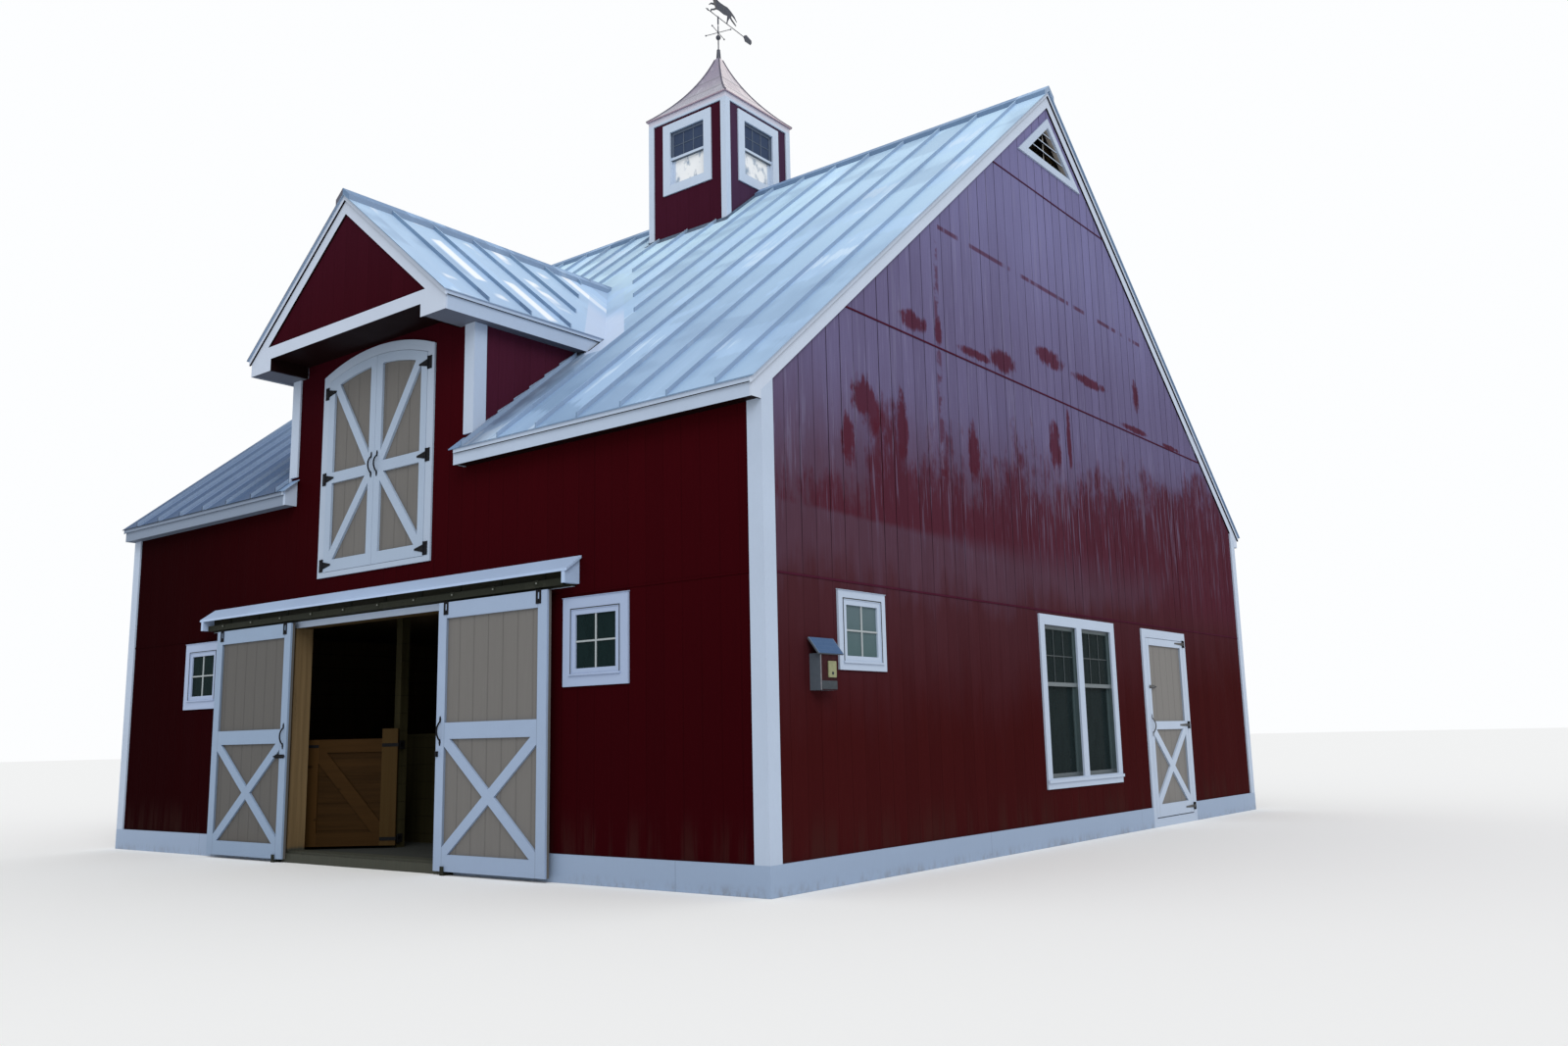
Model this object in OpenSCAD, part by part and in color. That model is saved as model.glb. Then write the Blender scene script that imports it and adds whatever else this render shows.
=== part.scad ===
// Red timber barn: wall dormer with an arched loft door, two braced sliding doors,
// a walk door in the gable, and a windowed ridge cupola with a running-horse weathervane.
// The origin is the middle of the wall footprint at ground level. The front with the
// sliding doors faces -Y, the gable with the walk door faces +X, and +Z is up.

/* [Walls] */
// Length along the ridge, between the outer faces of the gable walls
wall_len = 10240; // [9800:20:11200]
// Depth across the gables, between the outer faces of the front and rear walls
wall_dep = 11160; // [10600:20:11800]
// Thickness of the framed walls
wall_t = 160; // [130:5:200]
// Height of the lower wall panels, up to the first sheet joint
lower_h = 2440; // [2420:5:2500]
// Thickness of the trim boards
board_t = 20; // [16:1:25]
// Width of the corner boards
corner_w = 150; // [110:5:180]
// Height of the base boards
base_h = 235; // [180:5:260]

/* [Roof] */
// Height of the roof sheet at the eaves
eave_z = 3952; // [3900:2:4200]
// Slope of the roofs, in degrees
roof_pitch = 39.8; // [38.5:0.1:41]
// Overhang of the roof sheet past the wall at the eaves
eave_out = 170; // [160:5:200]
// Thickness of the framed roof, square to its slope
deck_t = 150; // [120:5:170]
// Thickness of the roof sheet, square to its slope
sheet_t = 8; // [6:1:10]
// Overhang of the roof sheet past the rake boards
sheet_out = 45; // [30:5:60]
// Distance between the standing seams
seam_pitch = 533; // [400:1:600]
// Height of a standing seam
seam_h = 38; // [25:1:45]
// Width of a standing seam
seam_w = 14; // [10:1:20]
// Half width of the ridge caps along the slope, in plan
cap_w = 120; // [90:5:160]
// Width of the rake boards, square to their slope
rake_w = 155; // [140:5:180]
// Distance of the fascia's bottom edge below the roof sheet at the eaves
fascia_drop = 157; // [150:1:190]
// Height of the strip along the top of each fascia and rake board
strip_h = 42; // [30:1:50]
// Thickness of that strip
strip_t = 20; // [16:1:25]

/* [Dormer] */
// Width of the dormer between the outer faces of its cheeks
dormer_w = 3150; // [3000:10:3300]
// Height of the dormer's roof sheet at its eaves
dormer_eave_z = 5406; // [5380:2:5500]
// Projection of the dormer's gable past the front wall
dormer_out = 460; // [350:10:500]
// Thickness of the dormer's cheeks
cheek_t = 120; // [90:5:150]
// Thickness of the dormer's framed roof, square to its slope
dormer_deck_t = 120; // [100:5:130]
// Distance of the dormer fascia's bottom edge below its roof sheet
dormer_fascia_drop = 187; // [182:1:205]
// Width of the return at each foot of the dormer's rake boards
return_w = 390; // [340:10:420]
// Height of the bottom of the white band across the dormer's gable
band_z = 5352; // [5340:2:5372]
// Height of that band
band_h = 138; // [120:2:150]

/* [Main doorway] */
// Clear width of the doorway
door_way = 2700; // [2500:10:2760]
// Width of one sliding door
slide_w = 1515; // [1480:5:1580]
// Height of the top edge of the sliding doors
slide_top = 2490; // [2480:2:2500]
// Gap between the ground and the sliding doors
slide_gap = 35; // [30:1:60]
// Gap between the two sliding doors when they are shut
slide_meet = 8; // [6:1:20]
// How far the open sliding doors stand inside the doorway's linings
slide_cover = 52; // [0:1:60]
// Width of the doors' stiles
stile_w = 120; // [100:5:140]
// Height of the doors' rails
rail_w = 150; // [120:5:160]
// Height of the middle of the sliding doors' lock rail
lock_z = 1295; // [1200:5:1400]
// Width of the diagonal braces
brace_w = 100; // [80:5:120]
// Thickness of the doors' boarded panels
panel_t = 28; // [20:1:32]
// Thickness of the doors' frames over the panels
frame_t = 22; // [18:1:26]
// Half length of the track over the sliding doors
track_half = 2990; // [2820:10:3000]
// Half length of the hood over the track
hood_half = 3090; // [3080:10:3300]
// Height of the threshold in the doorway
threshold_h = 110; // [100:2:130]

/* [Loft door] */
// Width of the loft doorway inside its casing
loft_w = 1756; // [1600:4:1800]
// Height of the bottom of the loft doorway
loft_z = 2981; // [2960:5:3020]
// Height of the springing of the loft door's arch
loft_spring = 5151; // [5000:5:5160]
// Rise of the arch of the casing's outer edge over the springing
loft_rise = 174; // [140:2:180]
// Width of the casing round the loft doorway
loft_casing = 90; // [70:5:100]
// Height of the middle of the loft doors' cross rail
loft_rail_z = 4010; // [3900:10:4100]

/* [Windows] */
// Width of a small window's casing, edge to edge
small_w = 792; // [700:4:820]
// Height of a small window's casing, edge to edge
small_h = 765; // [680:5:800]
// Height of the bottom of the small windows
small_z = 1637; // [1500:5:1650]
// Distance of the front windows from the middle of the wall
small_x = 3277; // [3200:5:3400]
// Width of the small windows' casing boards
small_casing = 95; // [80:5:110]
// Width of the gable's small window, edge to edge of its casing
gable_small_w = 700; // [640:4:740]
// Height of the gable's small window, edge to edge of its casing
gable_small_h = 660; // [600:5:700]
// Height of the bottom of the gable's small window
gable_small_z = 1704; // [1650:4:1730]
// Distance of the gable's small window from the middle of the gable
gable_small_y = 4280; // [4100:10:4400]
// Width of the gable window's casing boards
gable_casing = 62; // [50:2:70]
// Width of the twin window, edge to edge of its casing
twin_w = 1920; // [1800:10:2000]
// Height of the twin window, edge to edge of its casing
twin_h = 1826; // [1700:2:1860]
// Height of the bottom of the twin window
twin_z = 573; // [540:1:600]
// Height at which the sashes of the twin window meet
twin_rail_z = 1663; // [1500:1:1750]
// Width of the twin window's middle post
mullion_w = 100; // [80:5:120]
// Width of the sash bars
sash_w = 42; // [34:1:50]
// Thickness of the sashes
sash_t = 40; // [30:1:45]
// Thickness of the glass
glass_t = 6; // [4:1:8]

/* [Walk door] */
// Distance of the walk door's near edge from the middle of the gable
walk_y = 1890; // [1800:10:2000]
// Width of the walk doorway
walk_w = 1264; // [1100:4:1300]
// Height of the walk doorway
walk_top = 2300; // [2200:5:2340]
// Gap between the walk door and its jambs
walk_gap = 6; // [5:0.5:10]
// Gap between the walk door and the sill below it
walk_floor_gap = 12; // [8:1:25]
// Width of the casing round the walk doorway
walk_casing = 90; // [70:5:100]
// Height of the sill under the walk door
sill_h = 100; // [95:1:120]
// Thickness of the walk door
walk_t = 45; // [40:1:55]

/* [Hinges] */
// Radius of the hinge pins
pin_r = 5; // [4:0.5:6]
// Radial clearance of the hinges' eyes on their pins
pin_clear = 0.05; // [0.02:0.01:0.1]
// Height of a hinge's turning eye
eye_h = 36; // [30:1:44]
// Thickness of the hinges' straps and plates
strap_t = 5; // [4:0.5:6]
// Length of the walk door's hinge straps
walk_strap = 265; // [200:5:300]
// Length of the stall gate's hinge straps
gate_strap = 180; // [170:5:400]
// Height of a bow pull, over its end plates
pull_h = 270; // [240:5:300]

/* [Inside] */
// Thickness of the concrete floor
floor_t = 90; // [75:5:90]
// Height of the top of the loft floor
loft_floor_z = 2920; // [2900:5:2940]
// Thickness of the loft floor with its joists
loft_floor_t = 250; // [200:10:280]
// Size of the square inside posts
post_s = 100; // [90:5:140]
// Distance of the gate post from the middle of the barn, to the left
post_x = 790; // [700:5:850]
// Distance of the gate post's middle behind the front wall's outer face
post_y = 960; // [940:5:1000]
// Length of the stall gate
gate_len = 1010; // [900:5:1020]
// Height of the stall gate
gate_h = 1130; // [1000:5:1200]
// Gap between the floor and the stall gate
gate_gap = 30; // [25:1:60]
// Angle at which the latched gate stands to the front wall
gate_angle = 37; // [34:0.5:39]
// Height of the low board wall
low_wall_h = 1170; // [1100:5:1300]
// Distance of the low board wall behind the front wall's outer face
low_wall_y = 1460; // [1400:10:2400]
// Length of the low board wall
low_wall_len = 3380; // [3000:10:3600]

/* [Cupola] */
// Width of the cupola's walls
cupola_w = 1420; // [1300:10:1500]
// Thickness of the cupola's walls
cupola_t = 90; // [80:5:110]
// Height of the eaves of the cupola's roof
cupola_eave_z = 10006; // [9950:2:10100]
// Width of the cupola's corner boards
cupola_board = 95; // [80:5:110]
// Width of a cupola window, edge to edge of its casing
cupola_win_w = 905; // [860:5:940]
// Height of a cupola window, edge to edge of its casing
cupola_win_h = 1067; // [1000:1:1080]
// Height of the bottom of the cupola windows
cupola_win_z = 8793; // [8780:1:8830]
// Width of the cupola windows' casing boards
cupola_casing = 120; // [100:5:140]
// Overhang of the cupola's roof past its corner boards
cupola_out = 26; // [20:1:60]
// Height of the bell-shaped roof, to where it enters its sleeve
bell_h = 1049; // [1000:1:1100]
// Slope of the bell-shaped roof at its eaves, in degrees
bell_foot = 39.8; // [35:0.1:44]

/* [Weathervane] */
// Height of the top of the roof's sleeve
sleeve_top = 11217; // [11200:1:11300]
// Height of the middle of the ball
ball_z = 11418; // [11400:1:11450]
// Radius of the ball
ball_r = 37; // [30:1:45]
// Height of the compass arms
arms_z = 11500; // [11490:1:11540]
// Length of a compass arm from the mast
arm_len = 205; // [160:5:240]
// Height of the arrow
arrow_z = 11750; // [11740:1:11800]
// Length of the arrow from the mast to its point
arrow_point = 300; // [280:5:340]
// Length of the arrow from the mast to the end of its tail
arrow_tail = 862; // [820:2:900]
// Length of the running horse, from its muzzle to its tail
horse_len = 735; // [640:5:760]
// Height of the tail leaf
leaf_h = 122; // [100:2:140]
// Radius of the mast's spindle
spindle_r = 6; // [5:0.5:8]
// Radial clearance of the hub on the spindle
hub_clear = 0.1; // [0.05:0.01:0.3]
// Thickness of the horse and the tail leaf
plate_t = 8; // [6:1:12]
// Heading of the arrow at rest, turned from the +Y axis towards -X
vane_turn = 4; // [-60:1:60]

/* [Hidden] */
$fn = 48;

barn_red = [0.42, 0.07, 0.08];
trim_white = [0.9, 0.91, 0.92];
panel_beige = [0.62, 0.56, 0.5];
pine = [0.72, 0.55, 0.35];
galvanised = [0.62, 0.7, 0.78];
black_iron = [0.08, 0.08, 0.09];
copper = [0.72, 0.48, 0.42];
concrete = [0.6, 0.6, 0.58];
pane_blue = [0.55, 0.68, 0.75, 0.5];

half_len = wall_len/2;
half_dep = wall_dep/2;
slope = tan(roof_pitch);
pitch = roof_pitch;
sheet_v = sheet_t/cos(pitch);
deck_v = deck_t/cos(pitch);
dormer_deck_v = dormer_deck_t/cos(pitch);
rake_v = rake_w/cos(pitch);
seam_v = seam_h/cos(pitch);
sheet_drip = 10;
// Outer face and back face of the fascia, past the wall
fascia_face = eave_out - strip_t - sheet_drip;
fascia_back = fascia_face - board_t;
fascia_z = eave_z - fascia_drop;
soffit_t = 15;
soffit_lip = 8;
// Clearance that keeps a sloping face off the piece that it rests on
seat = 0.2;
// Small overlap that makes a cut run clean through
cut = 10;

// Heights of the roof sheet's top, the deck's top and the deck's underside
function pan(y) = eave_z + (half_dep + eave_out - abs(y))*slope;
function deck_top(y) = pan(y) - sheet_v;
function deck_low(y) = deck_top(y) - deck_v;
// Distance from the ridge at which the main roof sheet reaches a height
function reach(z) = half_dep + eave_out - (z - eave_z)/slope;

dormer_half = dormer_w/2;
dormer_tip = dormer_half + eave_out;
function dormer_pan(x) = dormer_eave_z + (dormer_tip - abs(x))*slope;
function dormer_top(x) = dormer_pan(x) - sheet_v;
function dormer_low(x) = dormer_top(x) - dormer_deck_v;
// The front walls' flat top inside, which carries the dormer
plate_z = deck_low(half_dep - wall_t);
// Distance from the ridge at which the cheeks run into the main roof
cheek_end = reach(dormer_low(dormer_half));
dormer_face = half_dep + dormer_out;

door_half = door_way/2;
wall_face = -half_dep;
// Distances of the sliding doors' layers from the front wall's face
panel_out = 66;
frame_out = panel_out + panel_t;
door_out = frame_out + frame_t;
slide_bottom = slide_gap;
jamb_t = 30;
slide_open = door_half - jamb_t - slide_cover;

// Draws an outline in the YZ plane and extrudes it from x0 to x1
module yz(x0, x1) {
  translate([x0, 0, 0])
    rotate([90, 0, 90])
      linear_extrude(x1 - x0)
        children();
}

// Draws an outline in the XZ plane and extrudes it from y0 to y1
module xz(y0, y1) {
  translate([0, y1, 0])
    rotate([90, 0, 0])
      linear_extrude(y1 - y0)
        children();
}

// Box between two corners
module block(low, high) {
  translate(low)
    cube(high - low);
}

// Copies its children to both sides of the X = 0 plane
module both_x() {
  children();
  mirror([1, 0, 0])
    children();
}

// Copies its children to both sides of the Y = 0 plane
module both_y() {
  children();
  mirror([0, 1, 0])
    children();
}

// Turns things drawn for a wall that faces -Y, with x = 0 in its middle, to the +X gable
module on_right_gable() {
  translate([half_len, 0, 0])
    rotate([0, 0, 90])
      children();
}

module on_left_gable() {
  translate([-half_len, 0, 0])
    rotate([0, 0, -90])
      children();
}

module on_front() {
  translate([0, -half_dep, 0])
    children();
}

module on_rear() {
  translate([0, half_dep, 0])
    rotate([0, 0, 180])
      children();
}

// Rectangle standing on z0, centred on x
module pane(x, z0, w, h) {
  translate([x - w/2, z0])
    square([w, h]);
}

// Flat bar from one point to another, clipped to the box between them
module bar(x0, z0, x1, z1, w) {
  length = norm([x1 - x0, z1 - z0]);
  intersection() {
    translate([min(x0, x1), min(z0, z1)])
      square([abs(x1 - x0), abs(z1 - z0)]);
    translate([x0, z0])
      rotate(atan2(z1 - z0, x1 - x0))
        translate([-w, -w/2])
          square([length + 2*w, w]);
  }
}

// Opening of a window whose casing measures w by h, standing on z0
module window_hole(x, z0, w, h, casing) {
  translate([x - w/2 + casing, -cut, z0 + casing])
    cube([w - 2*casing, wall_t + 2*cut, h - 2*casing]);
}

liner_t = 14;
// Depths of a single sash and of the outer one of a hung pair, behind the wall's face
flush_in = -14;
hung_in = 18;
hung_t = sash_t - 10;

// Rectangle standing on z0, less everything inside its border
module ring(x, z0, w, h, border) {
  difference() {
    pane(x, z0, w, h);
    pane(x, z0 + border, w - 2*border, h - 2*border);
  }
}

// Casing, liner and sashes of one window in a wall that faces -Y: two hung sashes that
// meet at the height of the rail, or a single one where that is 0
module window_frame(x, z0, w, h, casing, depth, rail) {
  inset = casing + liner_t;
  low = z0 + inset;
  high = z0 + h - inset;
  in_w = w - 2*inset;
  xz(-board_t, 0)
    ring(x, z0, w, h, inset);
  xz(0, depth)
    ring(x, z0 + casing, w - 2*casing, h - 2*casing, liner_t);
  if (rail == 0)
    xz(flush_in, flush_in + sash_t)
      ring(x, low, in_w, high - low, sash_w);
  else {
    xz(hung_in, hung_in + hung_t)
      ring(x, rail - sash_w/2, in_w, high - rail + sash_w/2, sash_w);
    xz(hung_in + hung_t, hung_in + 2*hung_t)
      ring(x, low, in_w, rail + sash_w/2 - low, sash_w);
  }
}

// Glass of one window, in the middle of each sash
module window_pane(x, z0, w, h, casing, rail) {
  inset = casing + liner_t + sash_w;
  low = z0 + inset;
  high = z0 + h - inset;
  if (rail == 0)
    glass_sheet(flush_in + sash_t/2, x, low, w - 2*inset, high - low);
  else {
    glass_sheet(hung_in + hung_t/2, x, rail + sash_w/2, w - 2*inset,
      high - rail - sash_w/2);
    glass_sheet(hung_in + 1.5*hung_t, x, low, w - 2*inset, rail - sash_w/2 - low);
  }
}

module glass_sheet(middle, x, z0, w, h) {
  xz(middle - glass_t/2, middle + glass_t/2)
    pane(x, z0, w, h);
}

twin_light = (twin_w - 2*small_casing - mullion_w)/2 + 2*small_casing;
twin_shift = (twin_light - 2*small_casing + mullion_w)/2;

module window_part(glass, x, z0, w, h, casing, depth, rail) {
  if (glass)
    window_pane(x, z0, w, h, casing, rail);
  else
    window_frame(x, z0, w, h, casing, depth, rail);
}

// Two hung windows side by side with a post between them and a stepped sill
module twin_window(glass) {
  for (side = [-1, 1])
    window_part(glass, side*twin_shift, twin_z, twin_light, twin_h, small_casing, wall_t,
      twin_rail_z);
  if (!glass) {
    xz(-board_t, wall_t)
      pane(0, twin_z + small_casing, mullion_w, twin_h - 2*small_casing);
    xz(-board_t - 18, -board_t)
      pane(0, twin_z + small_casing - 32, twin_w + 10, 32);
  }
}

module twin_hole() {
  for (side = [-1, 1])
    window_hole(side*twin_shift, twin_z, twin_light, twin_h, small_casing);
  translate([-mullion_w/2 - 1, -cut, twin_z + small_casing])
    cube([mullion_w + 2, wall_t + 2*cut, twin_h - 2*small_casing]);
}

// Places of the small windows in the rear wall
rear_windows = [-small_x, -small_x/3, small_x/3, small_x];

module floor_slab() {
  color(concrete)
    block([-half_len + wall_t, -half_dep + wall_t, 0],
      [half_len - wall_t, half_dep - wall_t, floor_t]);
}

// Wall outline under the eaves: plumb faces and a top that follows the roof
module eave_wall_outline() {
  polygon([[-half_dep, 0], [-half_dep + wall_t, 0],
    [-half_dep + wall_t, plate_z - seat], [-half_dep, deck_low(half_dep) - seat]]);
}

module front_wall_right() {
  color(barn_red)
    difference() {
      union() {
        yz(dormer_half, half_len)
          eave_wall_outline();
        block([door_half, -half_dep, 0], [dormer_half, -half_dep + wall_t, plate_z]);
      }
      on_front()
        window_hole(small_x, small_z, small_w, small_h, small_casing);
    }
}

module front_wall_left() {
  mirror([1, 0, 0])
    front_wall_right();
}

loft_half = loft_w/2;
loft_outer_half = loft_half + loft_casing;
loft_outer_r = (loft_outer_half*loft_outer_half + loft_rise*loft_rise)/(2*loft_rise);
loft_arch_z = loft_spring + loft_rise - loft_outer_r;

// Outline with a segmental arched head, inset from the casing's outer edge
module arched(inset, bottom) {
  intersection() {
    translate([-loft_outer_half + inset, bottom])
      square([2*(loft_outer_half - inset), loft_spring + loft_rise - bottom]);
    translate([0, loft_arch_z])
      circle(r = loft_outer_r - inset, $fn = 180);
  }
}

module front_wall_over() {
  color(barn_red)
    xz(-half_dep, -half_dep + wall_t)
      difference() {
        translate([-door_half, lower_h])
          square([door_way, plate_z - lower_h]);
        arched(loft_casing, loft_z);
      }
}

// Dormer wall over the loft door, and the boarded triangle of its projecting gable
module dormer_front() {
  color(barn_red) {
    xz(-half_dep, -half_dep + wall_t)
      difference() {
        polygon([[-dormer_half, plate_z], [dormer_half, plate_z],
          [dormer_half, dormer_low(dormer_half) - seat], [0, dormer_low(0) - seat],
          [-dormer_half, dormer_low(dormer_half) - seat]]);
        arched(loft_casing, loft_z);
      }
    xz(-dormer_face + board_t, -dormer_face + 2*board_t)
      polygon([[-gable_tri_half, band_z + soffit_t], [gable_tri_half, band_z + soffit_t],
        [0, dormer_low(0) - seat]]);
  }
}
gable_tri_half = dormer_tip - (band_z + soffit_t - (dormer_eave_z - sheet_v - dormer_deck_v))/slope;

module dormer_cheeks() {
  color(barn_red)
    both_x()
      intersection() {
        yz(dormer_half - cheek_t, dormer_half)
          polygon([[-half_dep + wall_t, plate_z], [-cheek_end, deck_low(cheek_end)],
            [-cheek_end, dormer_low(0)], [-half_dep + wall_t, dormer_low(0)]]);
        xz(-half_dep, 0)
          polygon([[0, 0], [dormer_tip, 0], [dormer_tip, dormer_low(dormer_tip) - seat],
            [0, dormer_low(0) - seat]]);
      }
}

module rear_wall() {
  color(barn_red)
    difference() {
      mirror([0, 1, 0])
        yz(-half_len, half_len)
          eave_wall_outline();
      on_rear()
        for (x = rear_windows)
          window_hole(x, small_z, small_w, small_h, small_casing);
    }
}

vent_half = 812;
vent_z = 7711;
vent_casing = 75;

// Triangle under the ridge with its sides parallel to the roof
module vent_outline(inset) {
  half = vent_half - inset*(1 + 1/cos(pitch))/slope;
  polygon([[-half, vent_z + inset], [half, vent_z + inset],
    [0, vent_z + vent_half*slope - inset/cos(pitch)]]);
}

// Whole gable wall between the front and rear walls, drawn for a wall that faces -Y
module gable_wall(bottom) {
  inner = half_dep - wall_t;
  xz(0, wall_t)
    difference() {
      polygon([[-inner, bottom], [inner, bottom], [inner, deck_low(inner) - seat],
        [0, deck_low(0) - seat], [-inner, deck_low(inner) - seat]]);
      vent_outline(vent_casing);
    }
}

module left_wall() {
  color(barn_red)
    on_left_gable()
      difference() {
        gable_wall(0);
        for (side = [-1, 1])
          window_hole(side*gable_small_y, gable_small_z, gable_small_w,
            gable_small_h, gable_casing);
        twin_hole();
      }
}

module right_wall_front() {
  color(barn_red)
    on_right_gable()
      difference() {
        block([-half_dep + wall_t, 0, 0], [walk_y, wall_t, lower_h]);
        window_hole(-gable_small_y, gable_small_z, gable_small_w,
          gable_small_h, gable_casing);
        twin_hole();
      }
}

module right_wall_rear() {
  color(barn_red)
    on_right_gable()
      block([walk_y + walk_w, 0, 0], [half_dep - wall_t, wall_t, lower_h]);
}

module right_wall_over() {
  color(barn_red)
    on_right_gable() {
      gable_wall(lower_h);
      block([walk_y, 0, walk_top], [walk_y + walk_w, wall_t, lower_h]);
    }
}

module loft_floor() {
  color(pine)
    block([-half_len + wall_t, -half_dep + wall_t, loft_floor_z - loft_floor_t],
      [half_len - wall_t, half_dep - wall_t, loft_floor_z]);
}

// Section of a framed roof slope, from a distance off the ridge up to the ridge
module deck_outline(from) {
  tail = half_dep + fascia_back;
  soffit_top = fascia_z + soffit_lip + soffit_t;
  tail_run = (soffit_top - deck_low(tail))/slope;
  if (from >= tail)
    polygon([[-tail, deck_top(tail)], [-tail, soffit_top], [-tail + tail_run, soffit_top],
      [0, deck_low(0)], [0, deck_top(0)]]);
  else
    polygon([[-from, deck_top(from)], [-from, deck_low(from)], [0, deck_low(0)],
      [0, deck_top(0)]]);
}

module front_roof_right() {
  color(pine)
    yz(dormer_half, half_len)
      deck_outline(half_dep + fascia_back);
}

module front_roof_left() {
  mirror([1, 0, 0])
    front_roof_right();
}

module front_roof_middle() {
  color(pine)
    yz(-dormer_half, dormer_half)
      deck_outline(cheek_end);
}

module rear_roof() {
  color(pine)
    mirror([0, 1, 0])
      yz(-half_len, half_len)
        deck_outline(half_dep + fascia_back);
}

// Everything under the main roof's deck on the front side
module under_deck() {
  far = half_dep + 2*dormer_out;
  yz(-2*dormer_tip, 2*dormer_tip)
    polygon([[-far, 0], [-far, deck_top(far) + seat], [0, deck_top(0) + seat], [0, 0]]);
}

module dormer_roof() {
  tail = dormer_half + fascia_back;
  color(pine)
    difference() {
      xz(-dormer_face + board_t, 0)
        both_sides()
          polygon([[0, dormer_top(0)], [0, dormer_low(0)], [tail, dormer_low(tail)],
            [tail, dormer_top(tail)]]);
      under_deck();
      dormer_box_room();
    }
}

// Space of the thin gable triangle and its soffit, which the dormer's deck leaves free
module dormer_box_room() {
  block([-dormer_tip, -dormer_face + board_t - cut, 0],
    [dormer_tip, -half_dep, band_z + soffit_t]);
}

module both_sides() {
  children();
  mirror([1, 0])
    children();
}

gable_edge = half_len + board_t + sheet_out;
eave_edge = half_dep + eave_out;
dormer_edge = dormer_face + sheet_out;
valley_w = 450;

// Where the valley crosses a line at x, as a distance from the ridge
function valley(x) = abs(x) < dormer_tip ? reach(dormer_pan(x)) : eave_edge;

// One standing seam of the main roof between two distances from the ridge
module main_seam(x, from, to) {
  yz(x - seam_w/2, x + seam_w/2)
    polygon([[-from, pan(from) - sheet_v/2], [-from, pan(from) + seam_v],
      [-to, pan(to) + seam_v], [-to, pan(to) - sheet_v/2]]);
}

seam_count = floor((gable_edge - 2*seam_w)/seam_pitch);

module sheet_outline() {
  polygon([[-eave_edge, pan(eave_edge)], [-eave_edge, deck_top(eave_edge) + seat],
    [0, deck_top(0) + seat], [0, pan(0)]]);
}

module rear_roof_metal() {
  color(galvanised)
    mirror([0, 1, 0]) {
      yz(-gable_edge, gable_edge)
        sheet_outline();
      for (i = [-seam_count : seam_count])
        main_seam(i*seam_pitch, eave_edge, seam_end(i*seam_pitch));
    }
}

// A seam stops at the ridge cap, or at the cupola's foot
function seam_end(x) = abs(x) < cupola_half + board_t + seam_w ? cupola_half + board_t : cap_w;
cupola_half = cupola_w/2;

module front_roof_metal() {
  low = dormer_eave_z - dormer_fascia_drop;
  color(galvanised) {
    for (side = [-1, 1])
      main_seam(side*(dormer_half + upstand_in), eave_edge, reach(low - seam_v));
    difference() {
      yz(-gable_edge, gable_edge)
        sheet_outline();
      block([-sheet_stub, -half_dep - 2*eave_out, 0], [sheet_stub, -half_dep, dormer_eave_z]);
      xz(-half_dep, cut)
        both_sides()
          polygon([[0, 0], [dormer_half, 0], [dormer_half, low], [dormer_tip, low],
            [dormer_tip, dormer_pan(dormer_tip)], [0, dormer_pan(0)]]);
    }
    for (i = [-seam_count : seam_count])
      main_seam(i*seam_pitch,
        min(eave_edge, valley(i*seam_pitch) - (valley(i*seam_pitch) < eave_edge ? valley_w : 0)),
        seam_end(i*seam_pitch));
    difference() {
      xz(-dormer_edge, -1)
        both_sides()
          polygon([[0, dormer_pan(0)], [0, dormer_top(0) + seat],
            [dormer_tip, dormer_top(dormer_tip) + seat],
            [dormer_tip, dormer_pan(dormer_tip)]]);
      under_deck();
    }
    dormer_seams();
  }
}

// Ends of the eave beside the dormer, past its corners, of the sheet over it, and the distance
// of the sheet's upstand from the cheeks
stub_w = 95;
sheet_stub = dormer_half - stub_w - 60;
upstand_in = 40;

// Distance off the ridge line at which a dormer seam meets the valley's smooth sheet
function dormer_valley(y) = (pan(y) - dormer_eave_z)/slope;

module dormer_seams() {
  for (y = [dormer_edge - seam_pitch : -seam_pitch : reach(dormer_pan(cap_w)) + valley_w]) {
    meets = dormer_tip - (pan(y) - dormer_eave_z)/slope;
    foot = min(dormer_tip, pan(y) > dormer_eave_z - valley_w*slope ? meets - valley_w : dormer_tip);
    if (foot > cap_w + seam_w)
      xz(-y - seam_w/2, -y + seam_w/2)
        both_sides()
          polygon([[cap_w, dormer_pan(cap_w) - sheet_v/2], [cap_w, dormer_pan(cap_w) + seam_v],
            [foot, dormer_pan(foot) + seam_v], [foot, dormer_pan(foot) - sheet_v/2]]);
  }
}

module cap_outline(ridge) {
  cap_v = seam_v + sheet_v;
  edge = ridge - cap_w*slope;
  polygon([[-cap_w, edge + seat], [0, ridge + seat], [cap_w, edge + seat],
    [cap_w, edge + cap_v], [0, ridge + cap_v], [-cap_w, edge + cap_v]]);
}

// Raised caps over the ridges, broken by the cupola
module ridge_caps() {
  color(galvanised) {
    both_x()
      yz(cupola_half + board_t, gable_edge)
        cap_outline(pan(0));
    difference() {
      xz(-dormer_edge, -1)
        cap_outline(dormer_pan(0));
      yz(-dormer_tip, dormer_tip)
        polygon([[-dormer_edge, 0], [-dormer_edge, pan(dormer_edge) + seat],
          [0, pan(0) + seat], [0, 0]]);
    }
  }
}

// Rake boards of one gable, with boxed ends at the eaves
module rake_outline() {
  tip = half_dep + fascia_face;
  heel = half_dep + board_t;
  polygon([[-tip, deck_top(tip)], [-tip, fascia_z], [-heel, fascia_z],
    [-heel, deck_top(heel) - rake_v], [0, deck_top(0) - rake_v],
    [heel, deck_top(heel) - rake_v], [heel, fascia_z], [tip, fascia_z],
    [tip, deck_top(tip)], [0, deck_top(0)]]);
}

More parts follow.
